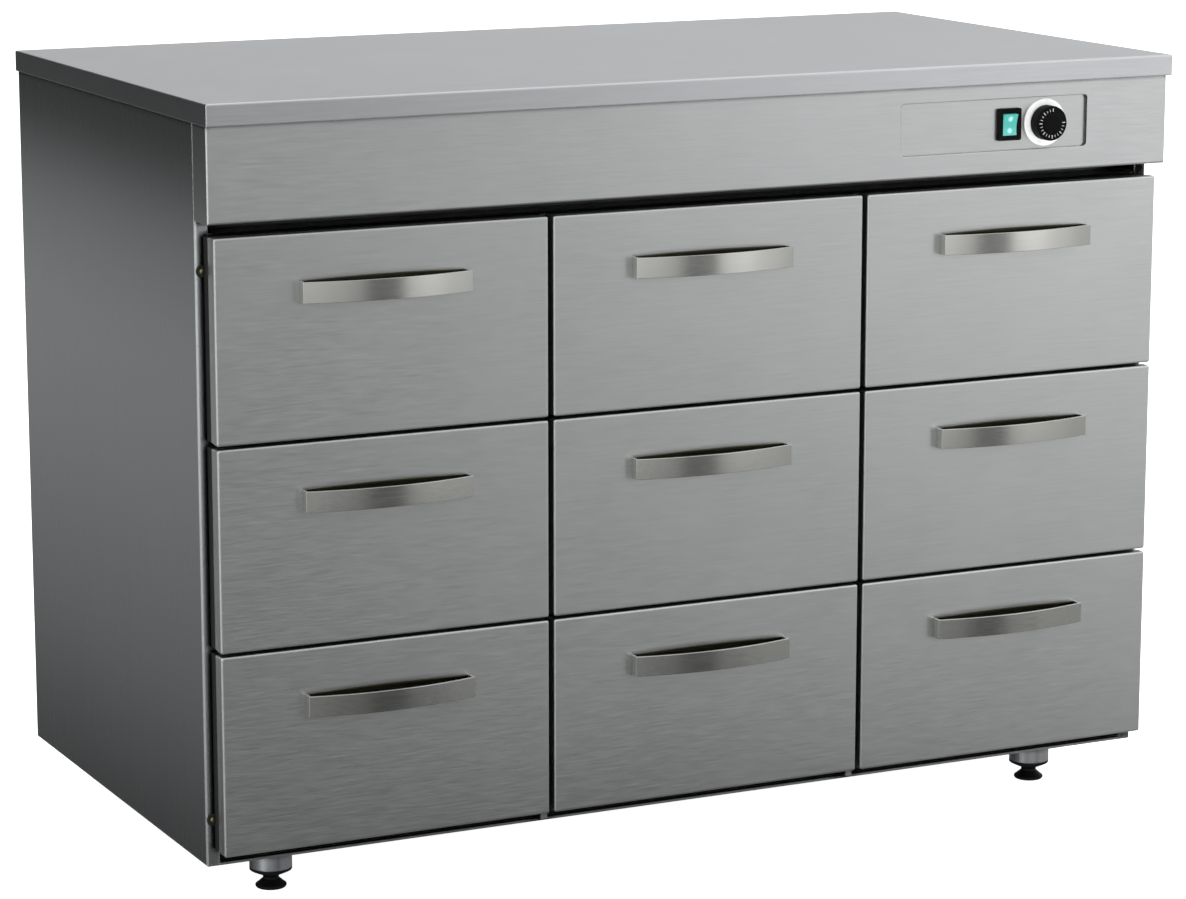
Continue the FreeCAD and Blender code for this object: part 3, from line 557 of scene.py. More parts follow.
def finish_list(rocker_centre: Vector) -> dict[str, Finish]:
    """Every finish of the cabinet by its short name.

    Args:
        rocker_centre: Middle of the rocker, for its lamps.

    Returns:
        The finishes.
    """
    # shade and reach set how much painted shade each sheet gets in gaps; shine and worn set its painted edge
    # highlight.
    plate = BrushedSheet("plate_sheet", (0.595, 0.61, 0.605), contrast=0.085, along=36.0)
    fronts = replace(plate, name="front_sheet", edge=2.4 * MM, shine=4.0, shade=0.4, reach=6 * MM)
    sides = BrushedSheet("side_sheet", (0.57, 0.59, 0.60), Grain.UPRIGHT, roughness=0.26, contrast=0.03,
                         relief=0.000003, edge=3.2 * MM, shine=5.0, shade=4.0, reach=8 * MM, along=3.0,
                         play=0.015)
    return {
        "top": BrushedSheet("worktop_sheet", (0.60, 0.613, 0.632), contrast=0.06, along=24.0),
        "fronts": fronts,
        "fascia": replace(fronts, name="fascia_sheet", tint=(0.597, 0.608, 0.612), edge=1.6 * MM, shade=3.0,
                          reach=8 * MM),
        "plate": plate,
        "sides": sides,
        # Copy of the side sheet for the right panel only, with much stronger painted shade and a weaker
        # painted edge highlight, so that its front return comes out dark.
        "shaded_sides": replace(sides, name="side_sheet_shaded", shine=1.0, shade=9.0, reach=45 * MM),
        # Strong painted shade, so that the gaps round the drawers come out black.
        "frame": BrushedSheet("frame_sheet", (0.56, 0.57, 0.57), contrast=0.02, relief=0.00001, shine=0.0,
                              shade=8.0, reach=14 * MM),
        # Painted shade in the gaps and, above painted_shade_above, black painted shade on the lip under the
        # drawers.
        "base": BrushedSheet("base_sheet", (0.56, 0.58, 0.60), contrast=0.1, shine=0.3, shade=6.0,
                             reach=22 * MM, along=60.0, painted_shade_above=57.2 * MM),
        # Painted shade: the inner walls get a darker tint and shade in gaps, so that they come out dark
        # between the parts.
        "liner": BrushedSheet("liner_sheet", (0.40, 0.405, 0.41), Grain.DEEP, roughness=0.42, shine=0.3,
                              shade=1.6, reach=60 * MM),
        "inner": BrushedSheet("inner_sheet", (0.52, 0.525, 0.53), Grain.DEEP, roughness=0.42),
        "runner": BrushedSheet("runner_zinc", (0.50, 0.52, 0.55), Grain.DEEP, roughness=0.46, contrast=0.16),
        "handle": BrushedSheet("handle_satin", (0.545, 0.55, 0.522), roughness=0.15, contrast=0.03,
                               relief=0.00001, edge=0.35 * MM, shine=3.0),
        # Painted shade and painted reflection: the dark sheet behind each handle's bow.
        "pad": BrushedSheet("pad_dark_satin", (0.085, 0.08, 0.055), roughness=0.3, shine=0.3, shade=2.0,
                            reach=14 * MM),
        "screw": BrushedSheet("screw_yellow_zinc", (0.26, 0.25, 0.10), roughness=0.42, contrast=0.2,
                              edge=0.3 * MM),
        "rivet": BrushedSheet("screw_plain_zinc", (0.55, 0.56, 0.57), contrast=0.15, edge=0.3 * MM),
        "heated": BrushedSheet("heated_steel", (0.20, 0.17, 0.15), roughness=0.5, contrast=0.25),
        "black": MouldedPlastic("black_moulding", (0.012, 0.012, 0.013), roughness=0.42),
        "gloss_black": MouldedPlastic("knob_moulding", (0.003, 0.003, 0.003), gloss=0.06),
        "foot": MouldedPlastic("foot_moulding", (0.004, 0.004, 0.005), gloss=0.18),
        "rubber": MouldedPlastic("seal_rubber", (0.010, 0.010, 0.011), roughness=0.75),
        "white": MouldedPlastic("dial_white", (0.86, 0.865, 0.87), roughness=0.35, relief=0.00001),
        "mark": MouldedPlastic("mark_grey", (0.42, 0.43, 0.43), relief=0.00001),
        "rocker": LitRocker("rocker_lit", (0.03, 0.20, 0.175), rocker_centre, 6.8 * MM),
        "wool": MineralWool("mineral_wool", (0.62, 0.55, 0.33)),
    }


# Mesh building


def middle(node: str) -> Vector:
    """Middle of a node's box."""
    return Vector([(low + high) / 2 for low, high in zip(*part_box(node))])


def half_width(node: str) -> float:
    """Half of a node's width."""
    low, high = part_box(node)
    return (high.x - low.x) / 2


def arc_radius(half: float, rise: float) -> float:
    """Radius of an arc by half its chord and its rise."""
    return (half * half + rise * rise) / (2 * rise)


def picked(items: Iterable, kind: type) -> list:
    """Those of an operator's results that are of one kind."""
    return [item for item in items if isinstance(item, kind)]


def block(low: Vector, high: Vector, mesh: Mesh | None = None) -> Mesh:
    """Add a box between two corners to a mesh, or to a new one.

    Args:
        low: Lowest corner.
        high: Highest corner.
        mesh: Mesh to add to.

    Returns:
        The mesh.
    """
    mesh = mesh or bmesh.new()
    place = Matrix.Translation((low + high) / 2) @ Matrix.Diagonal((*(high - low), 1.0))
    bmesh.ops.create_cube(mesh, size=1.0, matrix=place)
    return mesh


def sheet(across: int = 1, up: int = 1, size: float = 0.5) -> Mesh:
    """Flat grid in the XY plane round the origin.

    Args:
        across: Number of faces along X.
        up: Number of faces along Y.
        size: Half its width.

    Returns:
        The mesh.
    """
    mesh = bmesh.new()
    bmesh.ops.create_grid(mesh, x_segments=across, y_segments=up, size=size)
    return mesh


def round_edges(mesh: Mesh, edges: Iterable[Edge], radius: float, segments: int = 4) -> None:
    """Bevel edges to a round of a radius."""
    bmesh.ops.bevel(mesh, geom=list(edges), offset=radius, offset_type="OFFSET", segments=segments,
                    profile=0.5, affect="EDGES", material=-1, clamp_overlap=True)


def edges_along(mesh: Mesh, axis: int) -> list[Edge]:
    """Edges that run along one axis."""
    runs = ((edge, edge.verts[1].co - edge.verts[0].co) for edge in mesh.edges)
    return [edge for edge, run in runs if abs(run[axis]) > 0.999 * run.length]


def edges_in_plane(mesh: Mesh, axis: int, value: float) -> list[Edge]:
    """Edges whose two ends lie in a plane across one axis."""
    return [e for e in mesh.edges if all(abs(v.co[axis] - value) < TINY for v in e.verts)]


def sharp_edges(mesh: Mesh, degrees: float = 40.0) -> list[Edge]:
    """Edges where two faces meet at more than an angle.

    Args:
        mesh: The mesh.
        degrees: The angle.

    Returns:
        The edges.
    """
    mesh.normal_update()
    limit = math.radians(degrees)
    return [e for e in mesh.edges if len(e.link_faces) == 2 and e.calc_face_angle(0.0) > limit]


def outwards(mesh: Mesh) -> None:
    """Point every face outwards."""
    bmesh.ops.recalc_face_normals(mesh, faces=mesh.faces)


def merged(mesh: Mesh | None, part: Mesh) -> Mesh:
    """Add one mesh to another and free it.

    Args:
        mesh: Mesh to add to, or none.
        part: Mesh that is added.

    Returns:
        The joined mesh.
    """
    if mesh is None:
        return part
    holder = bpy.data.meshes.new("holder")
    part.to_mesh(holder)
    part.free()
    mesh.from_mesh(holder)
    bpy.data.meshes.remove(holder)
    return mesh


def turned(profile: Iterable[tuple[float, float]], centre: Vector, axis: Vector, steps: int,
           mesh: Mesh | None = None) -> Mesh:
    """Turn an outline about an axis into a closed solid.

    Args:
        profile: Points as (radius, distance along the axis), with both ends on the axis.
        centre: Point of the axis at distance 0.
        axis: Direction of the axis.
        steps: Steps of the full turn.
        mesh: Mesh to add to, or none for a new one.

    Returns:
        The mesh.
    """
    part = bmesh.new()
    side = axis.orthogonal().normalized()
    verts = [part.verts.new(centre + side * r + axis * along) for r, along in profile]
    edges = [part.edges.new(pair) for pair in zip(verts, verts[1:])]
    bmesh.ops.spin(part, geom=verts + edges, cent=centre, axis=axis, angle=math.tau, steps=steps,
                   use_merge=True, use_duplicate=False)
    bmesh.ops.remove_doubles(part, verts=part.verts, dist=TINY)
    outwards(part)
    return merged(mesh, part)


def fluted(mesh: Mesh, seat: Vector, depth_at: Callable[[float, float, float], float]) -> None:
    """Press flutes or ribs into a mesh that was turned about an axis along Y.

    Args:
        mesh: The mesh.
        seat: Point of the axis.
        depth_at: Depth by distance from the axis, distance in front of the seat, and angle.
    """
    for vert in mesh.verts:
        away = Vector((vert.co.x - seat.x, 0, vert.co.z - seat.z))
        depth = depth_at(away.length, seat.y - vert.co.y, math.atan2(away.z, away.x))
        vert.co -= away.normalized() * depth


def ribbed(count: int, angle: float) -> float:
    """Share of the depth, from 0 to 1, of evenly spaced ribs at an angle."""
    return 0.5 + 0.5 * math.cos(count * angle)


def faced(mesh: Mesh, place: Vector, turn: float = 0.0, tilt: float = 0.0) -> Mesh:
    """Stand a flat mesh from the XY plane up on the cabinet's front at a place.

    Args:
        mesh: Mesh round the origin.
        place: Where its origin goes.
        turn: Turn in radians, counter-clockwise seen from the front.
        tilt: Tilt in radians about the X axis.

    Returns:
        The mesh.
    """
    upright = Matrix.Rotation(tilt, 4, "X") @ Matrix.Rotation(math.pi / 2, 4, "X")
    spin = Matrix.Rotation(turn, 4, "Z")
    bmesh.ops.transform(mesh, matrix=Matrix.Translation(place) @ upright @ spin, verts=mesh.verts)
    return mesh


def extruded(mesh: Mesh, edges: list[Edge], way: Vector) -> list[Vert | Edge]:
    """Extrude edges along a way.

    Args:
        mesh: Their mesh.
        edges: The edges.
        way: How far they move.

    Returns:
        The new vertices, then the new edges.
    """
    grown = bmesh.ops.extrude_edge_only(mesh, edges=edges)["geom"]
    verts = picked(grown, Vert)
    bmesh.ops.translate(mesh, verts=verts, vec=way)
    return verts + picked(grown, Edge)


def pan_head(place: Vector, axis: Vector, radius: float, height: float, mesh: Mesh) -> None:
    """Add a domed screw head with a recess.

    Args:
        place: Middle of its seat.
        axis: Direction that it faces.
        radius: Radius of the head.
        height: Height of the dome.
        mesh: Mesh to add to.
    """
    rings, rim = 5, 0.25
    outline = [(0.0, 0.0), (radius, 0.0), (radius, height * rim)]
    for index in range(1, rings):
        angle = math.pi / 2 * index / rings
        outline.append((radius * math.cos(angle), height * (rim + (1 - rim) * math.sin(angle))))
    outline += [(radius * 0.22, height), (radius * 0.12, height * 0.45), (0.0, height * 0.35)]
    turned(outline, place, axis, 20, mesh)


# Sub-assemblies


@dataclass
class Assembly:
    """Common work of every sub-assembly.

    Attributes:
        palette: The finishes by their short names.
    """

    palette: dict[str, bpy.types.Material]

    def add(self, mesh: Mesh, name: str, finish: str, slot: str, replaces: str | None = None,
            body: str = Body.CABINET.value, smooth: float = 40.0) -> None:
        """Make an object of a mesh and put it on its body.

        Args:
            mesh: The mesh, in place; it is freed.
            name: Name of the piece.
            finish: Short name of its finish.
            slot: Material slot of the record; not used.
            replaces: Node that it stands for.
            body: Body that it rides on.
            smooth: Angle under which edges are shaded smooth, in degrees.
        """
        piece = placed(mesh, name, self.palette[finish])
        for polygon in piece.data.polygons:
            polygon.use_smooth = True
        piece.data.set_sharp_from_angle(angle=math.radians(smooth))
        piece.modifiers.new("even_normals", "WEIGHTED_NORMAL").keep_sharp = True
        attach(piece, body)
        if replaces:
            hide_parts(replaces)
        LOG.info("%s on %s", name, body)

    def dress(self, node: str, finish: str) -> None:
        """Give a carried-over node its finish.

        Args:
            node: Name of the node.
            finish: Short name of the finish.
        """
        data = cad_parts[node].data
        data.materials.clear()
        data.materials.append(self.palette[finish])
        LOG.info("%s dressed with %s", node, finish)


def placed(mesh: Mesh, name: str, material: bpy.types.Material) -> bpy.types.Object:
    """Object of a mesh in the scene.

    Args:
        mesh: The mesh, in place; it is freed.
        name: Name of the object.
        material: Its material.

    Returns:
        The object.
    """
    data = bpy.data.meshes.new(name)
    mesh.to_mesh(data)
    mesh.free()
    data.materials.append(material)
    made = bpy.data.objects.new(name, data)
    bpy.context.scene.collection.objects.link(made)
    return made


@dataclass
class Carcass(Assembly):
    """Worktop, side, back and base sheets, front frame, inner walls and what is fixed to them.

    Attributes:
        finishes: Finish of each carried-over node.
        shade_ring_radius: Radius of the black discs on the side flanges, which stand in for the shade round
            the screws: painted shade.
        shade_ring: Thickness of the discs.
        screw_radius: Radius of the plated screws in them.
        screw_height: Height of every screw's head.
        screw_drops: Depth of the flange screws under the worktop.
        back_screw_radius: Radius of the screws round the back panel.
        back_screw_pitch: Greatest spacing of them.
        back_margin: Distance of them from the back panel's sides and foot.
        back_top_margin: Distance of them from its top.
    """

    finishes: tuple[tuple[str, str], ...] = (
        ("worktop", "top"), ("side_panel_left", "sides"), ("side_panel_right", "shaded_sides"),
        ("back_panel", "fronts"), ("base_pan", "base"), ("front_frame", "frame"), ("inner_walls", "liner"),
        ("cabinet_runners", "runner"), ("insulation", "wool"), ("heating_element", "heated"),
        ("thermostat", "rivet"), ("opening_seals", "rubber"))
    shade_ring_radius: float = 6.6 * MM
    shade_ring: float = 0.9 * MM
    screw_radius: float = 2.9 * MM
    screw_height: float = 1.8 * MM
    screw_drops: tuple[float, float] = (182 * MM, 785 * MM)
    back_screw_radius: float = 3.6 * MM
    back_screw_pitch: float = 190 * MM
    back_margin: float = 9 * MM
    back_top_margin: float = 28 * MM

    def build(self) -> None:
        """Dress the sheets and add the fasteners."""
        for node, finish in self.finishes:
            self.dress(node, finish)
        self.flange_screws()
        self.back_screws()

    def flange_screws(self) -> None:
        """Plated screws on the front flanges of the two side panels, each on a black disc that stands in for
        the shade round it: painted shade.
        """
        shade_rings, screws = bmesh.new(), bmesh.new()
        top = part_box("worktop")[1].z
        rim, thick = self.shade_ring_radius, self.shade_ring
        outline = [(0, 0), (rim, 0), (rim, 0.5 * MM), (rim - 0.4 * MM, thick), (0, thick)]
        for node in ("side_panel_left", "side_panel_right"):
            for drop in self.screw_drops:
                seat = Vector((middle(node).x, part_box(node)[0].y, top - drop))
                turned(outline, seat, FRONT, 32, shade_rings)
                pan_head(seat + FRONT * thick, FRONT, self.screw_radius, self.screw_height, screws)
        # Painted shade: black discs round the screws.
        self.add(shade_rings, "flange_shade_rings", "black", "black_plastic")
        self.add(screws, "flange_screws", "screw", "runner_steel")

    def back_screws(self) -> None:
        """Screws round the edge of the back panel."""
        low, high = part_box("back_panel")
        margin = self.back_margin
        wide, tall = high.x - low.x - 2 * margin, high.z - low.z - 2 * margin
        across, upright = (math.ceil(span / self.back_screw_pitch) for span in (wide, tall))
        places = []
        for index in range(across + 1):
            x = low.x + margin + wide * index / across
            places += [(x, low.z + margin), (x, high.z - self.back_top_margin)]
        for index in range(1, upright):
            z = low.z + margin + tall * index / upright
            places += [(low.x + margin, z), (high.x - margin, z)]
        screws = bmesh.new()
        for x, z in places:
            pan_head(Vector((x, high.y, z)), BACK, self.back_screw_radius, self.screw_height, screws)
        self.add(screws, "back_panel_screws", "rivet", "runner_steel")


@dataclass
class ControlPanel(Assembly):
    """Fascia with the recessed plate, dial, thermostat knob and lit rocker switch.

    Attributes:
        seat_gap: Gap between the knob and the dial.
        skirt_depth: Depth of the knob's skirt.
        grip_radius: Radius of its grip.
        grip_flutes: Number of flutes round the grip.
        flute_depth: Depth of the flutes.
        skirt_ribs: Number of fine ribs round the skirt.
        rib_depth: Depth of the ribs.
        marks_from: Angle of the first mark, counter-clockwise from the right.
        marks_span: Angle that the marks cover.
        marks: Number of marks.
        long_mark_every: Every such mark is a long one.
        mark_rise: Height of the marks on the knob's face.
        long_mark: Length and width of a long mark.
        short_mark: Length and width of a short one.
        bezel_steps: Inset and drop of each step into the bezel's pocket.
        rocker_size: Width and height of the rocker.
        rocker_rise: Height of its middle in front of the plate.
        rocker_dish: Further height of its ends.
        rocker_tilt: Tilt of the rocker at rest.
    """

    seat_gap: float = 0.6 * MM
    skirt_depth: float = 15.5 * MM
    grip_radius: float = 12.6 * MM
    grip_flutes: int = 8
    flute_depth: float = 1.5 * MM
    skirt_ribs: int = 60
    rib_depth: float = 0.35 * MM
    marks_from: float = 87.0
    marks_span: float = 275.0
    marks: int = 19
    long_mark_every: int = 3
    mark_rise: float = 0.05 * MM
    long_mark: tuple[float, float] = (3.8 * MM, 0.9 * MM)
    short_mark: tuple[float, float] = (2.9 * MM, 0.6 * MM)
    bezel_steps: tuple[tuple[float, float], ...] = ((5.2 * MM, 0.8 * MM), (0.2 * MM, 3.6 * MM))
    rocker_size: tuple[float, float] = (18.8 * MM, 25.6 * MM)
    rocker_rise: float = 3.9 * MM
    rocker_dish: float = 2.1 * MM
    rocker_tilt: float = 7.0

    def build(self) -> None:
        """Dress the sheets and make the controls."""
        self.dress("control_fascia", "fascia")
        self.dress("control_plate", "plate")
        self.dial()
        self.knob()
        self.scale()
        self.bezel()
        self.rocker()

    def knob_seat(self) -> Vector:
        """Middle of the knob's face against the dial."""
        centre = middle("thermostat_knob")
        return Vector((centre.x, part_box("dial_ring")[0].y - self.seat_gap, centre.z))

    def dial(self) -> None:
        """White disc with a rounded rim."""
        low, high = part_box("dial_ring")
        radius, depth, centre = half_width("dial_ring"), high.y - low.y, middle("dial_ring")
        centre.y = high.y
        outline = [(0, 0), (radius, 0), (radius, depth * 0.5), (radius - 0.15 * MM, depth * 0.85),
                   (radius - 0.5 * MM, depth), (radius * 0.78, depth), (radius * 0.76, depth * 0.8),
                   (0, depth * 0.8)]
        self.add(turned(outline, centre, FRONT, 96), "dial_disc", "white", "dial_white", "dial_ring")

    def knob(self) -> None:
        """Knob with a finely ribbed skirt and a fluted grip."""
        seat, radius = self.knob_seat(), half_width("thermostat_knob")
        depth = seat.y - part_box("thermostat_knob")[0].y
        skirt, grip = self.skirt_depth, self.grip_radius
        outline = [(0, 0), (radius - 0.8 * MM, 0), (radius, 0.8 * MM), (radius, skirt - 1.5 * MM),
                   (radius - 0.5 * MM, skirt - 0.5 * MM), (radius - 1.5 * MM, skirt),
                   (grip + 0.6 * MM, skirt), (grip, skirt + 0.4 * MM), (grip, depth - 1.2 * MM),
                   (grip - 0.4 * MM, depth - 0.4 * MM), (grip - 1.3 * MM, depth), (grip - 3 * MM, depth),
                   (grip - 3.4 * MM, depth - 0.5 * MM), (0, depth - 0.5 * MM)]

        def depth_at(out: float, along: float, angle: float) -> float:
            """Depth of the ribs on the skirt, or of the flutes on the grip.

            Args:
                out: Distance from the knob's axis.
                along: Distance in front of its seat.
                angle: Angle round the axis.

            Returns:
                The depth.
            """
            if abs(out - radius) < 0.1 * MM and 1 * MM < along < skirt - 1 * MM:
                return self.rib_depth * ribbed(self.skirt_ribs, angle)
            on_grip = along > skirt + 0.2 * MM and out > grip - 2 * MM
            return self.flute_depth * max(0.0, math.cos(self.grip_flutes * angle)) ** 2 if on_grip else 0.0

        mesh = turned(outline, seat, FRONT, self.skirt_ribs * 2)
        fluted(mesh, seat, depth_at)
        self.add(mesh, "knob_body", "gloss_black", "black_plastic", "thermostat_knob", Body.KNOB.value, 50.0)

    def scale(self) -> None:
        """Long and short marks printed round the knob's face."""
        face = self.knob_seat() + FRONT * (self.skirt_depth + self.mark_rise)
        marks = bmesh.new()
        inner = self.grip_radius + 1.0 * MM
        for index in range(self.marks):
            length, width = self.short_mark if index % self.long_mark_every else self.long_mark
            angle = math.radians(self.marks_from + self.marks_span * index / (self.marks - 1))
            part = block(Vector((-width / 2, inner, -self.mark_rise)),
                         Vector((width / 2, inner + length, self.mark_rise)))
            merged(marks, faced(part, face, angle - math.pi / 2))
        self.add(marks, "knob_marks", "mark", "dial_white", body=Body.KNOB.value)

    def bezel(self) -> None:
        """Switch housing: stepped bezel with a pocket, and its body behind the plate."""
        low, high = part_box("switch_bezel")
        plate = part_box("control_plate")[0].y
        mesh = block(low, Vector((high.x, plate, high.z)))
        round_edges(mesh, edges_along(mesh, 1), 2 * MM)
        round_edges(mesh, edges_in_plane(mesh, 1, low.y), 0.7 * MM, 3)
        mesh.faces.ensure_lookup_table()
        face = min(mesh.faces, key=lambda f: (round(f.calc_center_median().y, 6), -f.calc_area()))
        for inset, drop in self.bezel_steps:
            bmesh.ops.inset_region(mesh, faces=[face], thickness=inset, use_even_offset=True)
            bmesh.ops.translate(mesh, verts=face.verts, vec=BACK * drop)
        step = Vector((2 * MM, 0, 2 * MM))
        block(Vector((low.x, plate, low.z)) + step, high - step, mesh)
        self.add(mesh, "switch_housing", "gloss_black", "black_plastic", "switch_bezel")

    def rocker(self) -> None:
        """Rocker with a dished face, tipped to its lit side."""
        pivot = middle("rocker")
        pivot.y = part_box("control_plate")[0].y
        tall = self.rocker_size[1]
        mesh = sheet(4, 16)
        bmesh.ops.scale(mesh, vec=(*self.rocker_size, 1), verts=mesh.verts)
        bmesh.ops.reverse_faces(mesh, faces=mesh.faces)
        grown = bmesh.ops.extrude_face_region(mesh, geom=list(mesh.faces))["geom"]
        for vert in picked(grown, Vert):
            vert.co.z = self.rocker_rise + self.rocker_dish * (abs(vert.co.y) / (tall / 2)) ** 2
        outwards(mesh)
        round_edges(mesh, sharp_edges(mesh, 50.0), 0.6 * MM, 3)
        faced(mesh, pivot, tilt=math.radians(self.rocker_tilt))
        self.add(mesh, "rocker_cap", "rocker", "rocker_plastic", "rocker", Body.ROCKER.value)


@dataclass
class Drawer(Assembly):
    """One drawer: folded front, bow handle, box and sliding channels.

    Attributes:
        row: Row from the top, from 1.
        column: Column from the left, from 1.
        skin_depth: Depth of the outer skin's return.
        fold: Outside radius of the folds.
        corner: Radius of the welded corners.
        sheet: Thickness of the sheet.
        end_depth: Depth of the handle's end posts.
        bar: Thickness of the handle's flat bar.
        bar_height: Height of the handle's flat bar.
        gap_shade_thickness: Thickness of the dark sheet behind the bow, which stands in for painted shade and
            the painted reflection of the bar's inside.
    """

    row: int
    column: int
    skin_depth: float = 12 * MM
    fold: float = 1.9 * MM
    corner: float = 2.4 * MM
    sheet: float = 1.0 * MM
    end_depth: float = 12 * MM
    bar: float = 3 * MM
    bar_height: float = 23 * MM
    gap_shade_thickness: float = 1 * MM

    @property
    def place(self) -> str:
        """Name of the drawer's place in the grid."""
        return f"r{self.row}c{self.column}"

    @property
    def body(self) -> str:
        """Body that the drawer's pieces ride on."""
        return f"drawer_{self.place}"

    def build(self) -> None:
        """Make the front and the handle and dress the rest."""
        self.front()
        self.handle()
        self.pad()
        self.dress(f"drawer_box_{self.place}", "inner")
        self.dress(f"drawer_runners_{self.place}", "runner")

    def front(self) -> None:
        """Outer skin with rounded folds, and the backing pan that closes it."""
        node = f"drawer_front_{self.place}"
        low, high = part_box(node)
        skin = block(low, Vector((high.x, low.y + self.skin_depth, high.z)))
        round_edges(skin, edges_along(skin, 1), self.corner)
        round_edges(skin, edges_in_plane(skin, 1, low.y), self.fold, 5)
        inset = Vector((self.sheet, 0, self.sheet))
        start = Vector((0, self.skin_depth - 0.2 * MM, 0))
        backing = block(low + inset + start, high - inset)
        round_edges(backing, edges_along(backing, 1), self.corner - self.sheet, 3)
        round_edges(backing, edges_in_plane(backing, 1, high.y), 1.0 * MM, 3)
        self.add(merged(skin, backing), f"front_{self.place}", "fronts", "outer_steel", node, self.body)

    def handle(self) -> None:
        """Bow of flat bar: two end posts and an arc between them."""
        node = f"drawer_handle_{self.place}"
        low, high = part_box(node)
        half = half_width(node)
        radius = arc_radius(half, (high.y - low.y) - self.end_depth)
        mesh = bmesh.new()
        foot = [mesh.verts.new((low.x, high.y, z)) for z in (low.z, low.z + self.bar_height)]
        post = extruded(mesh, [mesh.edges.new(foot)], FRONT * self.end_depth)
        centre = Vector((middle(node).x, low.y + radius, low.z))
        turn = 2 * math.asin(half / radius)
        swept = bmesh.ops.spin(mesh, geom=post, cent=centre, axis=UP, angle=turn, steps=36, use_merge=False,
                               use_duplicate=False)["geom_last"]
        extruded(mesh, picked(swept, Edge), BACK * self.end_depth)
        outwards(mesh)
        if min(mesh.faces, key=lambda f: f.calc_center_median().y).normal.y > 0:
            bmesh.ops.reverse_faces(mesh, faces=mesh.faces)
        bmesh.ops.solidify(mesh, geom=list(mesh.faces), thickness=self.bar)
        outwards(mesh)
        round_edges(mesh, sharp_edges(mesh), 0.35 * MM, 3)
        self.add(mesh, f"handle_{self.place}", "handle", "handle_metal", node, self.body, 30.0)

    def pad(self) -> None:
        """Dark sheet between the posts, standing in for the shade behind the bow and its reflection in the
        front: painted shade and painted reflection, with an arched upper edge that follows the reflected top
        of the bar.
        """
        node = f"drawer_handle_{self.place}"
        low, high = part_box(node)
        half = half_width(node) - self.bar - 1 * MM
        radius = arc_radius(half, high.z - low.z - self.bar_height)
        x, waist, front = middle(node).x, low.z + self.bar_height / 2, high.y - self.gap_shade_thickness
        mesh = sheet(24)
        bmesh.ops.rotate(mesh, matrix=Matrix.Rotation(math.pi / 2, 3, "X"), verts=mesh.verts)
        bmesh.ops.scale(mesh, vec=(2 * half, 1, self.bar_height), verts=mesh.verts)
        bmesh.ops.translate(mesh, vec=(x, front, waist), verts=mesh.verts)
        for vert in mesh.verts:
            if vert.co.z > waist:
                vert.co.z = high.z - radius + math.sqrt(radius * radius - (vert.co.x - x) ** 2)
        grown = bmesh.ops.extrude_face_region(mesh, geom=list(mesh.faces))["geom"]
        bmesh.ops.translate(mesh, vec=BACK * self.gap_shade_thickness, verts=picked(grown, Vert))
        outwards(mesh)
        sharp = sharp_edges(mesh, 60.0)
        round_edges(mesh, [e for e in edges_in_plane(mesh, 1, front) if e in sharp], 0.3 * MM, 2)
        self.add(mesh, f"handle_pad_{self.place}", "pad", "black_plastic", node, self.body)


@dataclass
class Leg(Assembly):
    """One leg: moulded insert in the welded sleeve, and the screw foot under it.

    Attributes:
        place: Corner of the cabinet.
        sleeve_radius: Outside radius of the sleeve.
        neck_radius: Radius of the neck of insert and foot.
        pad_radius: Radius of the foot's pad.
        stem_radius: Radius of the foot's plated stem.
        sleeve_floor: Height of the sleeve's end.
        rim: Height of the insert's rim below it.
        seam: Height of the joint between insert and foot.
    """

    place: str
    sleeve_radius: float = 24 * MM
    neck_radius: float = 9 * MM
    pad_radius: float = 17.5 * MM
    stem_radius: float = 5 * MM
    sleeve_floor: float = 24 * MM
    rim: float = 3.2 * MM
    seam: float = 13 * MM

    @property
    def axis(self) -> Vector:
        """Point of the leg's axis on the floor."""
        centre = middle(f"levelling_foot_{self.place}")
        return Vector((centre.x, centre.y, 0))

    def build(self) -> None:
        """Make the insert and the foot."""
        self.insert()
        self.foot()

    def insert(self) -> None:
        """Bell-shaped end of the insert below the sleeve."""
        outer, neck = self.sleeve_radius, self.neck_radius
        low, top = self.seam, self.sleeve_floor
        outline = [(0, low), (neck - 0.4 * MM, low), (neck, low + 0.4 * MM),
                   (neck + 0.6 * MM, low + 1.4 * MM)]
        rings, swell = 8, 1.15
        start = Vector((neck + 1.0 * MM, low + 1.6 * MM))
        end = Vector((outer - 0.6 * MM, top - self.rim - 0.2 * MM))
        for share in (index / rings for index in range(rings + 1)):
            outline.append((start.x + (end.x - start.x) * share,
                            start.y + (end.y - start.y) * share ** swell))
        outline += [(outer, top - self.rim + 0.6 * MM), (outer, top - 0.3 * MM), (outer - 0.3 * MM, top),
                    (0, top)]
        self.add(turned(outline, self.axis, UP, 64), f"leg_insert_{self.place}", "foot", "black_plastic",
                 "leg_inserts", smooth=50.0)

    def foot(self) -> None:
        """Pad with a cone and a neck, and its plated stem."""
        node = f"levelling_foot_{self.place}"
        pad, neck, stem = self.pad_radius, self.neck_radius, self.stem_radius
        seat, top = self.seam - 0.3 * MM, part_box(node)[1].z
        outline = [(0, 0), (pad - 1.6 * MM, 0), (pad - 1.0 * MM, 0.3 * MM), (pad - 0.2 * MM, 1.3 * MM),
                   (pad, 1.9 * MM), (pad, 3.1 * MM), (pad - 0.4 * MM, 3.7 * MM), (pad - 3 * MM, 5.6 * MM),
                   (neck + 2 * MM, 8.8 * MM), (neck + 0.4 * MM, 10.0 * MM), (neck, 10.8 * MM),
                   (neck, self.seam - 0.6 * MM), (neck - 0.4 * MM, seat), (0, seat)]
        mesh = turned(outline, self.axis, UP, 64)
        rod = [(0, seat), (stem, seat), (stem, top - 1 * MM), (stem - 1 * MM, top), (0, top)]
        turned(rod, self.axis, UP, 32, mesh)
        self.add(mesh, f"foot_pad_{self.place}", "foot", "black_plastic", node, f"foot_{self.place}", 50.0)


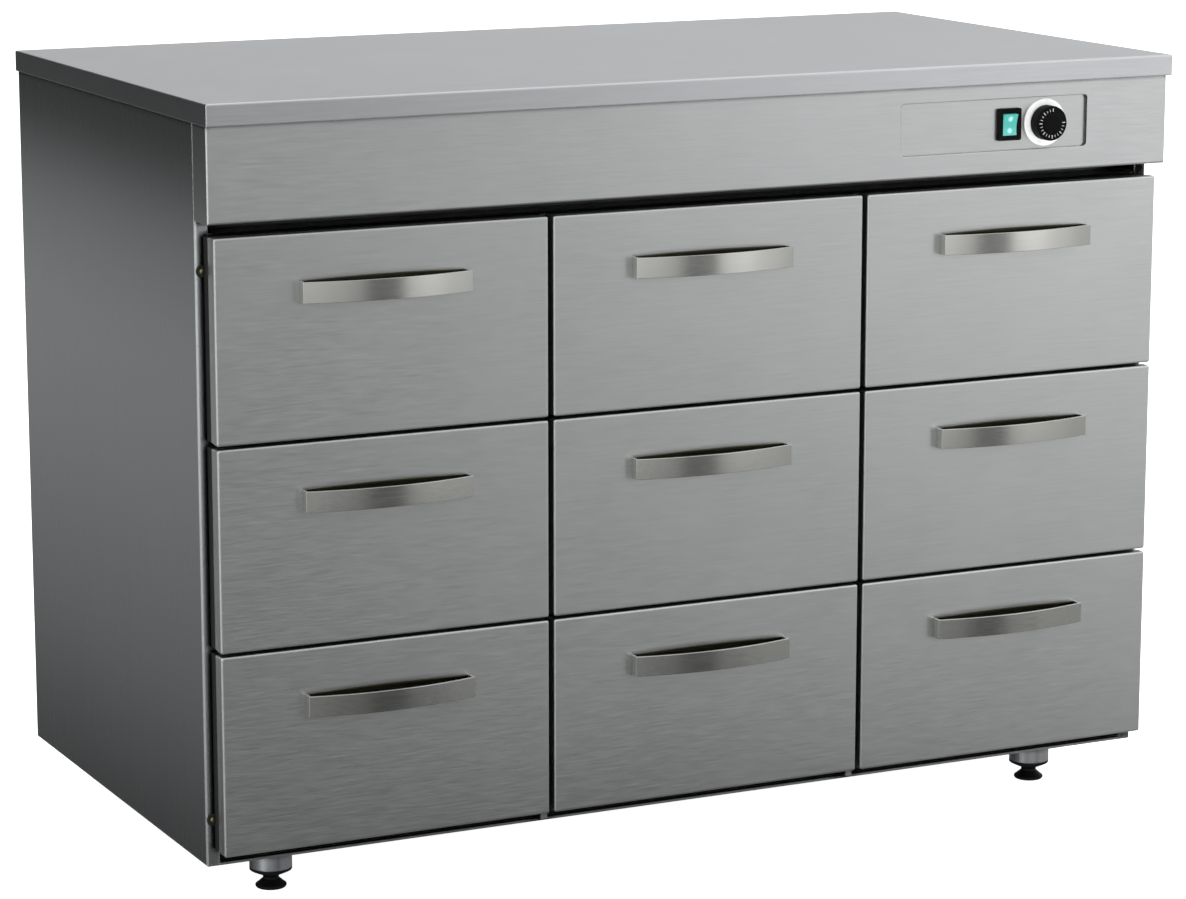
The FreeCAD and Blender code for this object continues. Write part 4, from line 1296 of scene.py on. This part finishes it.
@dataclass
class CableGland(Assembly):
    """Gland in the back panel.

    Attributes:
        hex_across: Width of its hexagon across the flats.
        hex_depth: Thickness of the hexagon.
        cap_radius: Radius of the ribbed cap.
        ribs: Number of ribs round the cap.
        rib_depth: Depth of the ribs.
        bore: Radius of the cable's way through.
    """

    hex_across: float = 24 * MM
    hex_depth: float = 5 * MM
    cap_radius: float = 10.5 * MM
    ribs: int = 18
    rib_depth: float = 0.5 * MM
    bore: float = 5 * MM

    def build(self) -> None:
        """Make the hexagon outside, the nut inside, and the ribbed cap."""
        low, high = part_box("cable_gland")
        seat = middle("cable_gland")
        seat.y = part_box("back_panel")[1].y
        mesh = bmesh.new()
        radius = self.hex_across / math.sqrt(3)
        turn = Matrix.Rotation(math.pi / 2, 4, "X") @ Matrix.Rotation(math.pi / 2, 4, "Z")
        for start in (0.0, low.y - seat.y):
            part = bmesh.new()
            place = Matrix.Translation(seat + BACK * (start + self.hex_depth / 2))
            bmesh.ops.create_cone(part, cap_ends=True, segments=6, radius1=radius, radius2=radius,
                                  depth=self.hex_depth, matrix=place @ turn)
            round_edges(part, sharp_edges(part), 0.4 * MM, 2)
            merged(mesh, part)
        merged(mesh, self.cap(seat, high.y - seat.y))
        self.add(mesh, "gland_body", "black", "black_plastic", "cable_gland")

    def cap(self, seat: Vector, length: float) -> Mesh:
        """Domed cap with ribs round it and the bore in its end.

        Args:
            seat: Middle of the gland on the back panel.
            length: Distance of the cap's end from the panel.

        Returns:
            The cap's mesh.
        """
        start, rim = self.hex_depth, self.cap_radius
        outline = [(0, start), (rim, start), (rim, length - 3.2 * MM), (rim - 0.7 * MM, length - 1.4 * MM),
                   (rim - 2.4 * MM, length - 0.2 * MM), (rim - 3.2 * MM, length), (self.bore, length),
                   (self.bore, start + 1 * MM), (0, start + 1 * MM)]
        part = turned(outline, seat, BACK, self.ribs * 4)
        fluted(part, seat, lambda out, along, angle: self.rib_depth * ribbed(self.ribs, angle)
               if out > rim - 0.1 * MM else 0.0)
        return part


# Studio


@dataclass(frozen=True)
class Veil:
    """Sheer dark panel that only what the metal mirrors passes through.

    Attributes:
        name: Name of the panel.
        low: Its lowest corner.
        high: Its highest corner; the two differ along two axes.
        axis: Axis that its shade follows, or none for the distance from the middle of the cabinet.
        stops: Place along that axis in metres, and share of the light let through there.
    """

    name: str
    low: tuple[float, float, float]
    high: tuple[float, float, float]
    axis: str | None
    stops: tuple[tuple[float, float], ...]

    def build(self) -> None:
        """Make the panel, which only glossy rays meet."""
        low, size = Vector(self.low), Vector(self.high) - Vector(self.low)
        flat = min(range(3), key=lambda index: size[index])
        wide = [index for index in range(3) if index != flat]
        mesh = sheet()
        for vert in mesh.verts:
            place = low.copy()
            for index, share in zip(wide, vert.co):
                place[index] += size[index] * (share + 0.5)
            vert.co = place
        panel = placed(mesh, self.name, self.material())
        for kind in ("camera", "diffuse", "shadow", "transmission", "volume_scatter"):
            setattr(panel, "visible_" + kind, False)

    def material(self) -> bpy.types.Material:
        """Black that lets light through by place.

        Returns:
            The material.
        """
        material = bpy.data.materials.new(self.name)
        material.use_nodes = True
        nodes = Nodes(material.node_tree)
        nodes.tree.nodes.clear()
        place = nodes.node("TexCoord").outputs["Object"]
        if self.axis is None:
            along = nodes.node("VectorMath", operation="LENGTH", Vector=place).outputs["Value"]
        else:
            along = nodes.node("SeparateXYZ", Vector=place).outputs[self.axis]
        first, last = self.stops[0][0], self.stops[-1][0]
        shares = [((stop - first) / (last - first), 1 - clear) for stop, clear in self.stops]
        shade = nodes.ramp(nodes.spread(along, start=first, end=last), shares, "LINEAR")
        clear = nodes.node("BsdfTransparent").outputs[0]
        black = nodes.node("Emission", Strength=0.0).outputs[0]
        nodes.node("OutputMaterial", Surface=nodes.shader_mix(shade, clear, black))
        return material


@dataclass
class Studio:
    """Pale floor, soft lights, the surroundings that the metal mirrors, and the camera.

    Attributes:
        yaw: Direction of view, degrees to the right of straight ahead.
        pitch: Degrees above the horizon.
        lens: Focal length in millimetres on the sensor.
        sensor: Width of the sensor in millimetres.
        stand: Place of the camera from the fascia's left top front corner: right, back and up.
        floor_half: Half the width of the floor.
        floor_tone: Colour of the floor.
        floor_glow: Light that the floor gives off.
        room: Brightness of the white room.
        lights: Name, place, target, size and power of each soft light.
        ring: Degrees to the right of straight in front, and brightness of the surroundings at the
            horizon and near the floor.
        low_band: Sines of the angles between which the lower brightness turns into the upper.
        high_band: Sines of the angles between which the upper brightness turns into the sky's.
        sky_tone: Colour of the surroundings overhead.
        veils: Panels that shade what the metal mirrors of them.
    """

    yaw: float = 25.99
    pitch: float = -11.39
    lens: float = 119.0
    sensor: float = 36.0
    stand: tuple[float, float, float] = (-1.416, -3.829, 0.452)
    floor_half: float = 40.0
    floor_tone: Color = (0.86, 0.86, 0.86)
    floor_glow: float = 0.95
    room: float = 0.9
    lights: tuple[tuple[str, Color, Color, float, float], ...] = (
        ("overhead_light", (0.3, -0.6, 3.2), (0, 0, 0.4), 2.6, 60.0),
        ("right_light", (3.0, -2.6, 1.9), (0.3, -0.2, 0.5), 1.6, 46.0),
        ("left_light", (-3.4, -2.2, 2.0), (-0.4, 0, 0.4), 1.4, 12.0))
    ring: tuple[tuple[float, float, float], ...] = (
        (-180, 0.38, 0.40), (-172, 0.30, 0.30), (-161, 0.29, 0.29), (-148, 0.30, 0.30), (-125, 0.50, 0.50),
        (-90, 0.90, 0.70), (-74, 1.80, 1.50), (-58, 1.80, 1.50), (-47, 1.30, 0.60), (-24, 1.60, 0.60),
        (-14, 1.90, 0.62), (-6, 1.80, 0.60), (3, 1.50, 0.44), (10, 1.18, 0.38), (16, 0.40, 0.235),
        (24, 0.46, 0.215), (30, 1.78, 0.405), (36, 1.94, 0.42), (48, 1.24, 0.58), (60, 0.82, 0.60),
        (70, 0.80, 0.66), (110, 0.90, 0.75), (143, 0.58, 0.50), (152, 0.49, 0.42), (158, 0.43, 0.37),
        (163, 0.42, 0.36), (180, 0.38, 0.40))
    low_band: tuple[float, float] = (-0.235, -0.09)
    high_band: tuple[float, float] = (0.28, 0.6)
    sky_tone: Color = (1.15, 1.15, 1.15)
    veils: tuple[Veil, ...] = (
        Veil("floor_veil", (-40, -40, -0.001), (40, 40, -0.001), None,
             ((0.0, 0.14), (0.5, 0.32), (0.8, 0.52), (1.2, 0.62), (1.8, 0.7), (2.8, 0.8), (4.5, 0.92),
              (8.0, 1.0))),
        Veil("front_veil", (-1.0, -1.0, -3.0), (3.0, -1.0, 3.0), "X",
             ((-0.6, 0.56), (-0.34, 0.62), (0.17, 0.8), (0.6, 0.88), (1.07, 0.91), (1.3, 0.91))),
        Veil("side_veil", (-0.8, -0.3, -1.0), (-0.8, 2.5, 2.5), "Z",
             ((-0.12, 0.4), (0.1, 0.82), (0.35, 1.0), (0.52, 1.0), (0.66, 0.66), (0.76, 0.11))))

    def build(self, effects: Effects) -> None:
        """Make the camera, floor, lights and surroundings.

        Args:
            effects: Shared node groups.
        """
        self.camera()
        self.floor(effects)
        for veil in self.veils:
            veil.build()
        self.soft_lights()
        self.surroundings()
        scene = bpy.context.scene
        scene.view_settings.view_transform = "Standard"
        scene.cycles.use_denoising = True

    def camera(self) -> None:
        """Camera at the front left, above the worktop."""
        data = bpy.data.cameras.new("camera")
        data.lens = self.lens
        data.sensor_width = self.sensor
        data.sensor_fit = "HORIZONTAL"
        data.clip_end = 200.0
        eye = bpy.data.objects.new("camera", data)
        worktop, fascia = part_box("worktop"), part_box("control_fascia")
        eye.location = Vector((worktop[0].x, fascia[0].y, worktop[1].z)) + Vector(self.stand)
        eye.rotation_euler = (math.radians(90 + self.pitch), 0.0, math.radians(-self.yaw))
        bpy.context.scene.collection.objects.link(eye)
        bpy.context.scene.camera = eye

    def floor(self, effects: Effects) -> None:
        """Wide plain floor that the lights and the camera see.

        Args:
            effects: Shared node groups.
        """
        recipe = Recipe("floor_paint", effects)
        noise = recipe.node("TexNoise", Vector=recipe.coordinates, Scale=3.0)
        near = tuple(part * 0.99 for part in self.floor_tone)
        recipe.surface(Base_Color=recipe.blend(noise.outputs["Fac"], near, self.floor_tone), Roughness=0.9,
                       Specular_IOR_Level=0.1, Emission_Color=WHITE, Emission_Strength=self.floor_glow)
        ground = placed(sheet(size=self.floor_half), "floor", recipe.material)
        ground.visible_glossy = False

    def soft_lights(self) -> None:
        """Large soft lights that the metal doesn't mirror."""
        for name, place, target, size, power in self.lights:
            data = bpy.data.lights.new(name, "AREA")
            data.size = size
            data.energy = power
            lamp = bpy.data.objects.new(name, data)
            lamp.location = place
            lamp.rotation_euler = (Vector(target) - Vector(place)).to_track_quat("-Z", "Y").to_euler()
            lamp.visible_glossy = False
            bpy.context.scene.collection.objects.link(lamp)

    def surroundings(self) -> None:
        """White room for the light, and a ring of light and dark panels for what the metal mirrors."""
        world = bpy.data.worlds.new("studio")
        world.use_nodes = True
        bpy.context.scene.world = world
        nodes = Nodes(world.node_tree)
        plain = nodes.tree.nodes["Background"]
        nodes.feed(plain.inputs["Color"], WHITE)
        nodes.feed(plain.inputs["Strength"], self.room)
        mirrored = nodes.node("Background", Color=self.panel_ring(nodes))
        glossy = nodes.node("LightPath").outputs["Is Glossy Ray"]
        nodes.feed(nodes.tree.nodes["World Output"].inputs["Surface"],
                   nodes.shader_mix(glossy, plain.outputs[0], mirrored.outputs[0]))

    def panel_ring(self, nodes: Nodes) -> Socket:
        """Brightness of the surroundings by compass direction and by height.

        Args:
            nodes: The world's node tree.

        Returns:
            The colour.
        """
        x, y, z = nodes.node("SeparateXYZ", Vector=nodes.node("TexCoord").outputs["Generated"]).outputs
        compass = nodes.math("ARCTAN2", x, nodes.math("MULTIPLY", y, -1.0))
        turn = nodes.spread(compass, start=-math.pi, end=math.pi)
        upper, lower = (nodes.ramp(turn, [((stop[0] + 180) / 360, stop[level]) for stop in self.ring], "EASE")
                        for level in (1, 2))
        low, high = (nodes.spread(z, start=start, end=end) for start, end in (self.low_band, self.high_band))
        return nodes.blend(high, nodes.blend(low, lower, upper), self.sky_tone)


def main() -> None:
    """Build the studio and every sub-assembly."""
    logging.basicConfig(level=logging.INFO, format="%(message)s")
    effects = Effects()
    Studio().build(effects)
    palette = {name: finish.build(effects) for name, finish in finish_list(middle("rocker")).items()}
    Carcass(palette).build()
    ControlPanel(palette).build()
    for row in ROWS:
        for column in COLUMNS:
            Drawer(palette, row, column).build()
    for place in ("front_left", "front_right", "back_left", "back_right"):
        Leg(palette, place).build()
    CableGland(palette).build()


if __name__ == "__main__":
    main()
